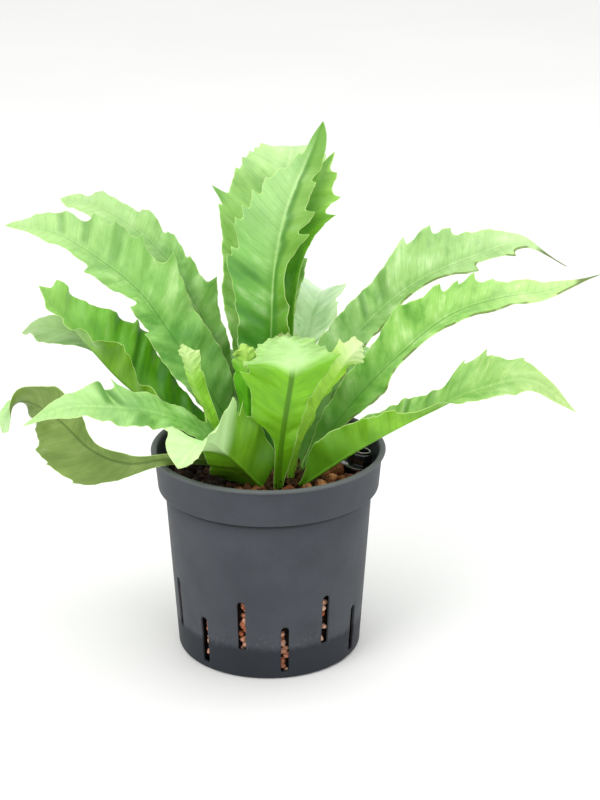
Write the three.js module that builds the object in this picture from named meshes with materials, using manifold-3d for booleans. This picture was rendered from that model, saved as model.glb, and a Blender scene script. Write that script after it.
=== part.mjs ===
// A young Japanese bird's nest fern with cut, waved fronds, in a hydroculture grow pot:
// slotted pot, bed of clay pebbles, sleeve for the water gauge, rhizome with its root ball,
// and one solid for each frond.
// Millimetres, Z up. The origin is the middle of the pot's flat base; the photo looks along +Y.
import * as THREE from 'three';
import { mergeVertices } from 'three/addons/utils/BufferGeometryUtils.js';
import Module from 'manifold-3d';

const wasm = await Module();
wasm.setup();

// Pot
const POT_SIDES = 42;
const POT_WALL = 1.4;
const POT_FLOOR = 1.8;
const POT_HEIGHT = 118.2;
const BASE_RADIUS = 51.7;
const BASE_ROUND = 2.2;
const BODY_TOP = { radius: 57.3, z: 90 };
const COLLAR_BOTTOM = { radius: 61.5, z: 97 };
const COLLAR_TOP = { radius: 63, z: 115.4 };
const LIP_RADIUS = 65;
const LIP_THICKNESS = 2;
const SOFT_EDGE = 0.6;

// Water slots: an even ring in which every second one sits higher
const SLOT_COUNT = 14;
const FIRST_SLOT_TURN = 9.2;
const SLOT_WIDTH = 4.4;
const LOWER_SLOT = { bottom: 4.5, top: 32.5 };
const UPPER_SLOT = { bottom: 18, top: 47.5 };

// Clay pebble bed
const BED_LEVEL = 101.5;
const BED_FLOOR = 2;
const BED_SECTORS = 64;
const BED_RINGS = 11;
const BED_COURSES = 10;
const BED_SIDE_TOP = 88;
const BED_SHOULDER = 2.4;
const BED_SEED = 11;
const PEBBLE_RISE = 2.6;
const PEBBLE_DENT = 2.4;
const PEBBLE_SINK = 0.8;
const CLEARANCE = 0.35;

// Rhizome and root ball
const CROWN_PLACE = { x: 8, y: -6 };
const CROWN_RADIUS = 21.5;
const CROWN_TOP = 103;
const CROWN_FOOT = 88;
const CROWN_BEVEL = { inset: 5, drop: 4 };
const CROWN_CREST = 1.5;
const CROWN_SIDES = 16;
const ROOT_RADIUS = 15;
const ROOT_BOTTOM = 38;
const ROOT_WIDE_FROM = 52;
const ROOT_NECK = 74;
const ROOT_FOOT_SHARE = 0.6;

// Sleeve that takes the water gauge: it stands on the pot's floor and leans out along the wall
const SLEEVE_TURN = 10.5;
const SHAFT_SEAT = { radius: 44.75, z: 2.9, lean: 3.64 };
const SHAFT_LENGTH = 100.5;
const SHAFT_RADIUS = 5;
const SLEEVE_BORE = 4;
const HEAD_SEAT = { radius: 52, z: 102.2, lean: 8.5 };
const HEAD_RADIUS = 6.9;
const HEAD_HEIGHT = 7.8;
const RING_RADIUS = 5.3;
const RING_HEIGHT = 1.2;
const FLANGE_RADIUS = 11.6;
const FLANGE_THICKNESS = 1.4;
const FLANGE_ROOM = 1;
const COLLAR_INSIDE = 59.7;
const ROUND_SIDES = 20;
const HEAD_SIDES = 8;
const CUT_PAST = 5;

// Fronds
const FROND_START = 98;
const STALK_HALF = 2.1;
const STALK_LENGTH = 10;
const STALK_FLARE = 0.9;
const SOCKET_LENGTH = 8;
const SOCKET_ROOM = { across: 1.6, up: 2.4 };
const BLADE_THICKNESS = 0.7;
const RIB_DEPTH = 1.5;
const RIB_RISE = 0.5;
const VEIN_SLANT = 0.55;
const NOTCH_LEAN = 0.25;
const LONGEST_EDGE = 17;
const NEAREST_FEET = 1.1;
const WAVE_LENGTH = 27;
const WAVE_HEIGHT = 1.3;
const WAVE_FULL_FROM = 12;
const NEXT_PHASE = 1.7;

// Colours
const POT_GREY = 0x53565b;
const PEBBLE_BROWN = 0x8a5436;
const SLEEVE_BLACK = 0x17181a;
const SCALE_BROWN = 0x3a2a1c;

// Each frond is measured as a botanist would: the midrib's path from the rhizome to the tip,
// the compass heading (0 to the front, 90 to the right), how far the blade turns about its
// midrib and how far its halves rise along it, in degrees, and down each side the teeth as
// [distance along the midrib, reach from it, depth of the cut past the tooth].
const FRONDS = [
  {
    name: 'frond_upright_centre', green: 0x7fc257, heading: 180,
    spine: [[8, 3], [2, 11, 141], [2, 18, 178], [4, 25, 213], [10, 32, 242], [20, 39, 266], [31, 45, 290]],
    turn: [0], leftRise: [20, 18, 15, 12, 10], rightRise: [35, 30, 25, 20],
    left: [[35, 12], [67, 18], [100, 20], [122, 28, 3], [126, 26, 6], [140, 27, 5], [146, 24, 5],
      [154, 22, 7], [162, 17, 2], [170, 11, 2], [181, 5, 2]],
    right: [[44, 13], [83, 12], [101, 8], [121, 6], [140, 18, 8], [154, 17, 7], [170, 11, 4], [179, 10],
      [194, 7]],
  },
  {
    name: 'frond_upright_behind', green: 0x86c85c, heading: -172,
    spine: [[4, 8], [0, 26, 137], [-3, 37, 174], [0, 47, 211], [7, 60, 242], [13, 76, 261], [15, 95, 264],
      [17, 113, 256]],
    turn: [0], leftRise: [15, 12, 5, 0], rightRise: [15, 12, 5, 0],
    left: [[49, 9], [92, 23], [125, 26], [144, 33, 3], [153, 39, 11], [166, 28], [178, 29, 3], [192, 25],
      [203, 17, 3]],
    right: [[49, 12], [90, 18], [125, 22, 5], [145, 24, 6], [165, 23, 5], [185, 20, 5], [203, 12, 3]],
  },
  {
    name: 'frond_upright_right', green: 0x4f9a2a, heading: 168,
    spine: [[12, 6], [10, 22, 138], [12, 31, 177], [15, 38, 210], [20, 44, 236], [28, 51, 255],
      [38, 58, 270]],
    turn: [0], leftRise: [10], rightRise: [15],
    left: [[50, 8], [100, 10], [150, 8], [172, 4]],
    right: [[42, 9], [80, 7], [117, 5], [139, 10], [151, 19, 7], [163, 16, 5], [175, 9, 5]],
  },
  {
    name: 'frond_upper_left_long', green: 0x97d26e, heading: -118,
    spine: [[0, -1], [-20, 8, 125], [-36, 16, 150], [-53, 26, 173], [-71, 38, 195], [-94, 52, 210],
      [-120, 64, 222], [-149, 74, 224]],
    turn: [20, 30, 35, 35, 25, 10], leftRise: [10, 5, 0, 0], rightRise: [10, 10, 5, 5],
    left: [[44, 6], [73, 13], [97, 13], [105, 13, 4], [123, 11, 6], [147, 12], [160, 11, 4], [177, 7],
      [192, 8], [210, 3]],
    right: [[47, 11], [70, 19], [100, 19], [118, 22], [132, 31, 10], [140, 20], [151, 28, 4],
      [167, 26, 5], [179, 24, 6], [192, 18, 1], [211, 13]],
  },
  {
    name: 'frond_upper_left_behind', green: 0x8bc864, heading: -135,
    spine: [[-7, 5], [-17, 21, 130], [-28, 34, 157], [-40, 49, 183], [-56, 67, 204], [-77, 85, 219],
      [-99, 99, 228], [-121, 110, 230]],
    turn: [0, 10, 20, 20, 10], leftRise: [10, 5, 0], rightRise: [10, 5, 0],
    left: [[54, 8], [95, 13, 4], [120, 15, 5], [150, 15, 5], [180, 14, 4], [207, 9]],
    right: [[54, 7], [94, 11], [101, 13], [113, 19, 8], [130, 12, 2], [151, 14, 3], [172, 16, 4],
      [187, 11], [203, 16, 3], [213, 7]],
  },
  {
    name: 'frond_left_forked', green: 0x79bf50, heading: -96,
    spine: [[-6, -5], [-26, 4, 115], [-47, 9, 127], [-65, 12, 138], [-82, 14, 152], [-96, 16, 168],
      [-111, 18, 186], [-125, 20, 205]],
    turn: [0, 10, 15, 15, 10], leftRise: [40, 60, 75, 90, 85, 30, 5], rightRise: [25, 30, 30, 25, 15, 5],
    left: [[32, 6], [50, 9], [77, 9], [88, 8], [97, 13], [104, 17], [111, 19, 3], [120, 17], [128, 7],
      [139, 11, 4], [152, 9]],
    right: [[50, 14], [77, 24], [97, 33], [113, 36, 4], [124, 29], [137, 22], [149, 18], [160, 16, 8]],
  },
  {
    name: 'frond_left_low_pale', green: 0xa5d99a, heading: -108,
    spine: [[-8, 0], [-28, 14, 117], [-46, 24, 127], [-62, 31, 139], [-77, 36, 153], [-94, 39, 163],
      [-111, 42, 170], [-127, 44, 172], [-139, 45, 169]],
    turn: [0, 10, 10, 10], leftRise: [10], rightRise: [10],
    left: [[50, 6], [90, 6], [115, 11, 2], [134, 19, 3], [151, 13]],
    right: [[50, 6], [90, 8], [115, 10, 2], [141, 13, 2], [154, 7]],
  },
  {
    name: 'frond_left_light', green: 0xa0dc74, heading: -70,
    spine: [[-3, -12], [-22, -17, 122], [-42, -26, 141], [-63, -35, 152], [-83, -44, 158],
      [-105, -53, 161], [-127, -60, 154]],
    turn: [0, 15, 20, 20, 10], leftRise: [-10, -5, 5, 5, 5], rightRise: [5, 10, 10, 10],
    left: [[24, 6], [42, 9], [54, 11], [69, 11], [82, 12], [95, 18], [106, 14], [123, 12], [137, 7]],
    right: [[25, 3.5], [36, 6], [47, 15, 5], [60, 7], [73, 13], [85, 11], [97, 15], [104, 21, 8],
      [111, 15, 4], [121, 14], [138, 6]],
  },
  {
    name: 'frond_left_drooping', green: 0x8aa85e, heading: -68,
    spine: [[-7, -11], [-32, -20, 117], [-55, -31, 123], [-76, -34, 122], [-95, -34, 130],
      [-113, -30, 147], [-129, -26, 155], [-138, -25, 150], [-143, -24, 136]],
    turn: [-20, -50, -75, -85, -85, -75, -40, 20], leftRise: [10, 5, 0, 0, 0], rightRise: [10, 5, 0, 0, 0],
    left: [[35, 7], [62, 2], [81, 6], [100, 4], [114, 8], [125, 15, 1], [133, 17], [142, 14], [152, 11],
      [165, 9]],
    right: [[35, 4], [69, 4], [81, 9], [100, 21, 2], [112, 22, 2], [123, 21, 3], [134, 15, 2], [148, 10],
      [164, 10]],
  },
  {
    name: 'frond_front_left', green: 0x93c95e, heading: 8,
    spine: [[0, -20], [-9, -27, 110], [-16, -34, 121], [-24, -42, 132], [-30, -51, 141], [-36, -58, 142],
      [-42, -63, 138], [-47, -66, 132]],
    turn: [0], leftRise: [15, 35, 42, 50, 55, 30], rightRise: [20, 22, 15, 2, -8],
    left: [[8, 10], [16, 18], [26, 22], [36, 25], [44, 24, 2], [52, 28, 9], [61, 26, 9], [69, 14, 3],
      [78, 8], [84, 4]],
    right: [[10, 8], [15, 17], [19, 22], [28, 20], [40, 14], [50, 14], [58, 17, 2], [68, 20, 3],
      [77, 19, 3], [84, 11]],
  },
  {
    name: 'frond_front_centre', green: 0x8fcf4e, heading: 0,
    spine: [[5, -22], [7, -28, 129], [10, -33, 153], [13, -33, 174], [12, -20, 181], [8, -5, 185]],
    turn: [0], leftRise: [-10, 0, 5, 10], rightRise: [-10, 0, 5, 10],
    left: [[22, 6], [40, 8], [65, 11], [76, 17], [90, 27, 8], [99, 21, 4], [105, 17, 4]],
    right: [[32, 3], [40, 8], [49, 18], [63, 19], [73, 26, 5], [87, 25, 8], [98, 19], [105, 15, 4]],
  },
  {
    name: 'frond_young_left', green: 0xa6dc62, heading: -25,
    spine: [[-1, -8], [-25, -7, 122], [-33, -7, 142], [-40, -7, 160], [-44, -7, 173], [-46, -6, 180]],
    turn: [0], leftRise: [30], rightRise: [30],
    left: [[30, 3], [45, 4], [60, 4], [78, 6, 1], [90, 8, 2]],
    right: [[30, 3.5], [45, 6], [60, 7], [82, 7, 1], [92, 8, 2]],
  },
  {
    name: 'frond_young_centre', green: 0x9ad65a, heading: -10,
    spine: [[3, -4], [-9, -4, 123], [-11, -5, 147], [-11, -6, 163], [-12, -4, 174], [-14, 0, 178]],
    turn: [0], leftRise: [35], rightRise: [35],
    left: [[30, 5], [50, 6], [65, 6], [76, 9, 3], [84, 6, 2]],
    right: [[30, 6], [50, 9], [65, 10, 1], [76, 12, 3], [84, 8, 2]],
  },
  {
    name: 'frond_young_right', green: 0xa3dc5c, heading: 22,
    spine: [[12, -12], [16, -14, 121], [24, -16, 142], [32, -17, 158], [41, -16, 172], [51, -12, 182]],
    turn: [0], leftRise: [40, 50, 45, 30], rightRise: [20, 20, 10],
    left: [[28, 6], [48, 11], [68, 14], [82, 16, 3], [92, 11, 3]],
    right: [[30, 5], [52, 8], [66, 12, 2], [80, 11, 2], [88, 11, 4], [95, 6, 2]],
  },
  {
    name: 'frond_right_upper', green: 0x97d272, heading: 118,
    spine: [[15, 2], [25, 8, 135], [40, 18, 163], [60, 28, 184], [85, 38, 201], [115, 46, 212],
      [143, 52, 218], [170, 57, 203]],
    turn: [-20, -35, -45, -45, -30], leftRise: [10, 5, 0, 0], rightRise: [10, 5, 0, 0],
    left: [[35, 9], [69, 15.5], [97, 15], [122, 16], [140, 27, 6], [154, 27, 7], [164, 22, 5], [182, 12],
      [202, 8], [214, 3]],
    right: [[40, 8], [80, 8], [107, 8], [122, 4], [149, 4], [168, 9, 5], [183, 5], [192, 8, 3], [209, 3]],
  },
  {
    name: 'frond_right_long', green: 0x8ccc62, heading: 96,
    spine: [[16, -4], [33, -4, 126], [50, -2, 148], [72, 0, 171], [97, 3, 191], [123, 6, 200],
      [152, 9, 204], [181, 12, 212]],
    turn: [-30, -50, -55, -50, -30, -20], leftRise: [10, 10, 5, 0], rightRise: [10, 10, 5, 0],
    left: [[48, 11], [87, 14], [98, 18], [110, 22, 2], [119, 16], [130, 19, 6], [138, 17, 4],
      [147, 18, 6], [156, 13, 2], [170, 10], [190, 6], [203, 3]],
    right: [[42, 4], [55, 8], [68, 10], [76, 9], [87, 4], [110, 4], [146, 7], [166, 7], [190, 7], [204, 2]],
  },
  {
    name: 'frond_right_front', green: 0x94cf66, heading: 74,
    spine: [[13, -18], [27, -22, 109], [48, -30, 127], [69, -38, 143], [88, -42, 155], [109, -46, 167],
      [136, -51, 174], [160, -58, 159]],
    turn: [0, 0, 0, -15, -25, -25], leftRise: [30, 35, 35, 20, 5, 0], rightRise: [60, 85, 85, 60, 5, 0, 0],
    left: [[30, 13], [51, 18], [84, 16], [103, 10], [112, 15], [119, 23, 4], [131, 27, 6], [141, 14],
      [147, 16, 2], [158, 6], [171, 3]],
    right: [[28, 18], [51, 15], [68, 13, 2], [80, 11, 3], [94, 4], [112, 9], [129, 11], [147, 9],
      [159, 6], [170, 3]],
  },
  {
    name: 'frond_back_pale', green: 0xa9d9a0, heading: 158,
    spine: [[18, 7], [15, 24, 128], [18, 38, 156], [24, 52, 172], [29, 68, 183], [33, 86, 180]],
    turn: [0], leftRise: [15, 20, 30, 30], rightRise: [15, 20, 30, 30],
    left: [[40, 8], [79, 9], [100, 14], [112, 17, 4]],
    right: [[40, 8], [78, 9], [88, 18], [98, 20, 2], [110, 18, 5]],
  },
  {
    name: 'frond_back_low', green: 0x86c65e, heading: 176,
    spine: [[7, 12], [8, 32, 128], [7, 56, 148], [6, 84, 157], [4, 110, 151], [2, 132, 134]],
    turn: [0], leftRise: [15, 10, 5], rightRise: [15, 10, 5],
    left: [[30, 9], [60, 15, 3], [82, 19, 5], [104, 18, 5], [126, 14, 4], [144, 7]],
    right: [[34, 10], [66, 16, 4], [90, 20, 5], [112, 16, 5], [134, 11, 4]],
  },
  {
    name: 'frond_back_right_low', green: 0x86c65e, heading: 145,
    spine: [[20, 2], [32, 24, 120], [45, 44, 136], [56, 64, 144], [64, 84, 143], [70, 102, 133]],
    turn: [0], leftRise: [15, 10, 5], rightRise: [15, 10, 5],
    left: [[28, 8], [54, 13, 3], [74, 17, 4], [94, 15, 5], [112, 9, 3]],
    right: [[26, 8], [48, 14, 3], [68, 17, 5], [86, 16, 5], [104, 11, 3]],
  },
  {
    name: 'frond_back_left_low', green: 0x86c65e, heading: -152,
    spine: [[-2, 11], [-13, 29, 121], [-25, 47, 140], [-34, 66, 149], [-41, 86, 149], [-46, 105, 139]],
    turn: [0], leftRise: [15, 10, 5], rightRise: [15, 10, 5],
    left: [[26, 8], [50, 14, 3], [72, 17, 5], [92, 15, 5], [110, 10, 3]],
    right: [[30, 8], [58, 15, 4], [80, 17, 5], [100, 13, 4]],
  },
];

// Small helpers

const radians = THREE.MathUtils.degToRad;

function seededRandom(seed) {
  let state = seed;
  return () => {
    state = (state * 1664525 + 1013904223) % 4294967296;
    return state / 4294967296;
  };
}

function toSolid(geometry) {
  const bare = geometry.clone();
  bare.deleteAttribute('normal');
  bare.deleteAttribute('uv');
  const merged = mergeVertices(bare, 1e-4);
  return new wasm.Manifold(new wasm.Mesh({
    numProp: 3,
    vertProperties: new Float32Array(merged.attributes.position.array),
    triVerts: new Uint32Array(merged.index.array),
  }));
}

function toGeometry(solid) {
  const mesh = solid.getMesh();
  const geometry = new THREE.BufferGeometry();
  geometry.setAttribute('position', new THREE.BufferAttribute(new Float32Array(mesh.vertProperties), 3));
  geometry.setIndex(new THREE.BufferAttribute(new Uint32Array(mesh.triVerts), 1));
  geometry.computeVertexNormals();
  return geometry;
}

// A turned shape about the Z axis from [radius, z] points that run anticlockwise from the axis
function turned(profile, sides) {
  const points = profile.map(([radius, z]) => new THREE.Vector2(radius, z));
  return new THREE.LatheGeometry(points, sides).rotateX(Math.PI / 2);
}

function largestBody(solid) {
  const bodies = solid.decompose();
  return bodies.reduce((best, body) => (body.volume() > best.volume() ? body : best));
}

// A smooth value at a fraction of the way through an evenly spaced list
function along(values, fraction) {
  const last = values.length - 1;
  if (last === 0) return values[0];
  const place = THREE.MathUtils.clamp(fraction, 0, 1) * last;
  const index = Math.min(Math.floor(place), last - 1);
  const f = place - index;
  const at = (i) => values[THREE.MathUtils.clamp(i, 0, last)];
  const [before, start, end, after] = [at(index - 1), at(index), at(index + 1), at(index + 2)];
  const inSlope = (end - before) / 2;
  const outSlope = (after - start) / 2;
  return start + inSlope * f + (3 * (end - start) - 2 * inSlope - outSlope) * f * f
    + (2 * (start - end) + inSlope + outSlope) * f * f * f;
}

// Pot

function potProfile() {
  const edge = SOFT_EDGE;
  return [
    [0, 0], [BASE_RADIUS - BASE_ROUND, 0], [BASE_RADIUS - edge, edge], [BASE_RADIUS, BASE_ROUND],
    [BODY_TOP.radius, BODY_TOP.z],
    [COLLAR_BOTTOM.radius - edge, COLLAR_BOTTOM.z - 1.5 * edge], [COLLAR_BOTTOM.radius, COLLAR_BOTTOM.z],
    [COLLAR_TOP.radius, COLLAR_TOP.z],
    [LIP_RADIUS, POT_HEIGHT - LIP_THICKNESS], [LIP_RADIUS, POT_HEIGHT - edge],
      [LIP_RADIUS - edge, POT_HEIGHT],
    [COLLAR_TOP.radius - POT_WALL, POT_HEIGHT],
    [COLLAR_BOTTOM.radius - POT_WALL, COLLAR_BOTTOM.z + edge],
    [BODY_TOP.radius - POT_WALL, BODY_TOP.z + edge],
    [BASE_RADIUS - POT_WALL, POT_FLOOR + 1], [BASE_RADIUS - POT_WALL - 1, POT_FLOOR], [0, POT_FLOOR],
  ];
}

function slotCutter(index) {
  const slot = index % 2 === 0 ? LOWER_SLOT : UPPER_SLOT;
  const half = SLOT_WIDTH / 2;
  const outline = new THREE.Shape();
  outline.moveTo(-half, slot.bottom);
  outline.lineTo(half, slot.bottom);
  outline.lineTo(half, slot.top - half);
  outline.absarc(0, slot.top - half, half, 0, Math.PI);
  const cutter = new THREE.ExtrudeGeometry(outline, { depth: 20, bevelEnabled: false, curveSegments: 4 });
  const turn = FIRST_SLOT_TURN + (360 / SLOT_COUNT) * index;
  return cutter.rotateX(Math.PI / 2).translate(0, -BASE_RADIUS + 10, 0).rotateZ(radians(turn));
}

function potGeometry() {
  let solid = toSolid(turned(potProfile(), POT_SIDES));
  for (let index = 0; index < SLOT_COUNT; index += 1) {
    solid = solid.subtract(toSolid(slotCutter(index)));
  }
  return toGeometry(solid);
}

// Rhizome with its root ball, and the sockets that the frond stalks stand in

function crownProfile(grow) {
  return [
    [0, ROOT_BOTTOM - grow], [ROOT_RADIUS * ROOT_FOOT_SHARE + grow, ROOT_BOTTOM - grow],
    [ROOT_RADIUS + grow, ROOT_WIDE_FROM], [ROOT_RADIUS + grow, ROOT_NECK],
    [CROWN_RADIUS + grow, CROWN_FOOT], [CROWN_RADIUS + grow, CROWN_TOP - CROWN_BEVEL.drop],
    [CROWN_RADIUS - CROWN_BEVEL.inset + grow, CROWN_TOP + grow], [0, CROWN_TOP + CROWN_CREST + grow],
  ];
}

function crownBlank(grow) {
  return toSolid(turned(crownProfile(grow), CROWN_SIDES).translate(CROWN_PLACE.x, CROWN_PLACE.y, 0));
}

// The hole that a frond stands in: a block round the stalk's end and the blade with room round it
function stalkSocket(frond) {
  const { centre, forward, across, face } = frameAt(frond, SOCKET_LENGTH / 2 - 1);
  const width = 2 * (STALK_HALF + SOCKET_ROOM.across);
  const block = new THREE.BoxGeometry(width, 2 * RIB_DEPTH + SOCKET_ROOM.up, SOCKET_LENGTH);
  const basis = new THREE.Matrix4().makeBasis(across, face.clone().negate(), forward);
  block.applyMatrix4(basis.setPosition(centre.clone().addScaledVector(face, -RIB_DEPTH / 2)));
  return toSolid(block).add(toSolid(thicken(bladeSurface(frond, CLEARANCE))));
}

function crownGeometry(sockets) {
  const solid = sockets.reduce((rest, socket) => rest.subtract(socket), crownBlank(0));
  return toGeometry(largestBody(solid));
}

// Pebble bed: a filled drum whose top and side are raised into pebbles

function bedBlank() {
  const random = seededRandom(BED_SEED);
  const wall = BASE_RADIUS - POT_WALL - 2.5 * CLEARANCE;
  const collar = COLLAR_BOTTOM.radius - POT_WALL - 2 * CLEARANCE - 1;
  const slope = (BODY_TOP.radius - BASE_RADIUS) / BODY_TOP.z;
  const rings = [];
  for (let course = 0; course <= BED_COURSES; course += 1) {
    const z = BED_FLOOR + CLEARANCE + ((BED_SIDE_TOP - BED_FLOOR) * course) / BED_COURSES;
    rings.push({ radius: wall + slope * z, z, side: true });
  }
  rings.push({ radius: collar, z: BED_LEVEL - BED_SHOULDER });
  for (let ring = BED_RINGS - 1; ring >= 1; ring -= 1) {
    rings.push({ radius: (collar * ring) / BED_RINGS, z: BED_LEVEL, top: true });
  }
  const positions = [0, 0, BED_FLOOR + CLEARANCE];
  rings.forEach((ring, row) => {
    for (let sector = 0; sector < BED_SECTORS; sector += 1) {
      const peak = (sector + row) % 2 === 0;
      const turn = (2 * Math.PI * (sector + (ring.top ? 0.3 * (random() - 0.5) : 0))) / BED_SECTORS;
      const radius = ring.radius - (ring.side && !peak ? PEBBLE_DENT * random() : 0);
      const bump = peak ? PEBBLE_RISE * (0.4 + 0.6 * random()) : -PEBBLE_SINK * random();
      const z = ring.z + (ring.top ? bump : 0);
      positions.push(radius * Math.cos(turn), radius * Math.sin(turn), z);
    }
  });
  const crest = positions.length / 3;
  positions.push(0, 0, BED_LEVEL);
  const triangles = [];
  const at = (row, sector) => 1 + row * BED_SECTORS + (sector % BED_SECTORS);
  const lastRow = rings.length - 1;
  for (let sector = 0; sector < BED_SECTORS; sector += 1) {
    triangles.push(0, at(0, sector + 1), at(0, sector));
    triangles.push(crest, at(lastRow, sector), at(lastRow, sector + 1));
    for (let row = 0; row < lastRow; row += 1) {
      triangles.push(at(row, sector), at(row, sector + 1), at(row + 1, sector + 1));
      triangles.push(at(row, sector), at(row + 1, sector + 1), at(row + 1, sector));
    }
  }
  return closedGeometry(positions, triangles);
}

function bedGeometry(sockets) {
  const bed = toSolid(bedBlank()).subtract(crownBlank(CLEARANCE)).subtract(sleeveHole());
  return toGeometry(largestBody(sockets.reduce((rest, socket) => rest.subtract(socket), bed)));
}

// Sleeve for the water gauge: an open tube with an eight-sided head and a ring on a round flange

function sleeveTube(seat, radius, bottom, top, sides) {
  const tube = new THREE.CylinderGeometry(radius, radius, top - bottom, sides).rotateX(Math.PI / 2);
  tube.translate(0, 0, (top + bottom) / 2).rotateY(radians(seat.lean));
  return toSolid(tube.translate(seat.radius, 0, seat.z).rotateZ(radians(SLEEVE_TURN)));
}

function sleeveHole() {
  const radius = SHAFT_RADIUS + CLEARANCE;
  const shaft = sleeveTube(SHAFT_SEAT, radius, -CUT_PAST, SHAFT_LENGTH + CUT_PAST, ROUND_SIDES);
  const seat = sleeveTube(HEAD_SEAT, FLANGE_RADIUS + FLANGE_ROOM, -CLEARANCE, POT_HEIGHT, ROUND_SIDES);
  return shaft.add(seat);
}

function sleeveGeometry() {
  const inside = new THREE.CylinderGeometry(COLLAR_INSIDE, COLLAR_INSIDE, 3 * POT_HEIGHT, 2 * POT_SIDES);
  const flange = sleeveTube(HEAD_SEAT, FLANGE_RADIUS, 0, FLANGE_THICKNESS, 1.5 * ROUND_SIDES);
  const shaft = sleeveTube(SHAFT_SEAT, SHAFT_RADIUS, 0, SHAFT_LENGTH, ROUND_SIDES);
  const head = sleeveTube(HEAD_SEAT, HEAD_RADIUS, FLANGE_THICKNESS / 2, HEAD_HEIGHT, HEAD_SIDES);
  const ring = sleeveTube(HEAD_SEAT, RING_RADIUS, HEAD_HEIGHT - 1, HEAD_HEIGHT + RING_HEIGHT, ROUND_SIDES);
  const body = shaft.add(head).add(ring).add(flange.intersect(toSolid(inside.rotateX(Math.PI / 2))));
  const shaftBore = sleeveTube(SHAFT_SEAT, SLEEVE_BORE, -CUT_PAST, SHAFT_LENGTH, ROUND_SIDES);
  const headBore = sleeveTube(HEAD_SEAT, SLEEVE_BORE, -CUT_PAST / 2, HEAD_HEIGHT + CUT_PAST, ROUND_SIDES);
  return toGeometry(body.subtract(shaftBore).subtract(headBore));
}

// Fronds

function closedGeometry(positions, triangles) {
  const geometry = new THREE.BufferGeometry();
  geometry.setAttribute('position', new THREE.BufferAttribute(new Float32Array(positions), 3));
  geometry.setIndex(triangles);
  geometry.computeVertexNormals();
  return geometry;
}

function withPath(frond, index) {
  const points = frond.spine.map(([x, y, z = FROND_START]) => new THREE.Vector3(x, y, z));
  const path = new THREE.CatmullRomCurve3(points, false, 'catmullrom', 0.5);
  return { ...frond, path, length: path.getLength(), phase: NEXT_PHASE * index };
}

// The midrib point at a distance from the root, with the directions to the tip, to the blade's
// right edge and out of its upper face
function frameAt(frond, distance) {
  const fraction = THREE.MathUtils.clamp(distance / frond.length, 0, 1);
  const centre = frond.path.getPointAt(fraction);
  const forward = frond.path.getTangentAt(fraction);
  const heading = radians(frond.heading);
  const across = new THREE.Vector3(-Math.cos(heading), -Math.sin(heading), 0);
  across.addScaledVector(forward, -across.dot(forward)).normalize();
  across.applyAxisAngle(forward, -radians(along(frond.turn, fraction)));
  const face = new THREE.Vector3().crossVectors(across, forward);
  return { centre, forward, across, face, fraction };
}

// A point of the blade and the direction square to it, on the left (-1) or right (1) half
function bladePoint(frond, side, distance, reach) {
  const { centre, across, face, fraction } = frameAt(frond, distance);
  const rise = radians(along(side > 0 ? frond.rightRise : frond.leftRise, fraction));
  const outward = across.clone().multiplyScalar(side * Math.cos(rise)).addScaledVector(face, Math.sin(rise));
  const normal = face.clone().multiplyScalar(Math.cos(rise)).addScaledVector(across, -side * Math.sin(rise));
  const wave = WAVE_HEIGHT * Math.min(1, reach / WAVE_FULL_FROM)
    * Math.sin((2 * Math.PI * distance) / WAVE_LENGTH + frond.phase + side);
  return { point: centre.clone().addScaledVector(outward, reach).addScaledVector(normal, wave), normal };
}

// The edge of one half as points {distance, reach}: each tooth, the cut just past it, and
// enough points between them to follow the bend of the blade
function edgeOutline(teeth) {
  const corners = [{ distance: 0, reach: STALK_HALF }];
  corners.push({ distance: STALK_LENGTH, reach: STALK_HALF + STALK_FLARE });
  for (const [distance, reach, cut = 0] of teeth) {
    corners.push({ distance, reach });
    if (cut > 0) corners.push({ distance: distance - NOTCH_LEAN * cut, reach: reach - cut });
  }
  const outline = [corners[0]];
  for (const corner of corners.slice(1)) {
    const last = outline[outline.length - 1];
    const pieces = Math.ceil((corner.distance - last.distance) / LONGEST_EDGE);
    for (let piece = 1; piece < pieces; piece += 1) {
      const f = piece / pieces;
      outline.push({
        distance: THREE.MathUtils.lerp(last.distance, corner.distance, f),
        reach: THREE.MathUtils.lerp(last.reach, corner.reach, f),
      });
    }
    outline.push(corner);
  }
  return outline;
}

// Gives each edge point the foot of its vein on the midrib, in order from root to tip
function withFeet(outline, length, otherFeet = []) {
  let lastFoot = -NEAREST_FEET;
  return outline.map(({ distance, reach }) => {
    const slanted = Math.max(distance - VEIN_SLANT * reach, distance / 2);
    const ownFoot = Math.min(Math.max(slanted, lastFoot + NEAREST_FEET), length - 1);
    const shared = otherFeet.find((foot) => Math.abs(foot - ownFoot) < NEAREST_FEET && foot > lastFoot + 0.5);
    lastFoot = shared ?? ownFoot;
    return { foot: lastFoot, distance, reach };
  });
}

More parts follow.
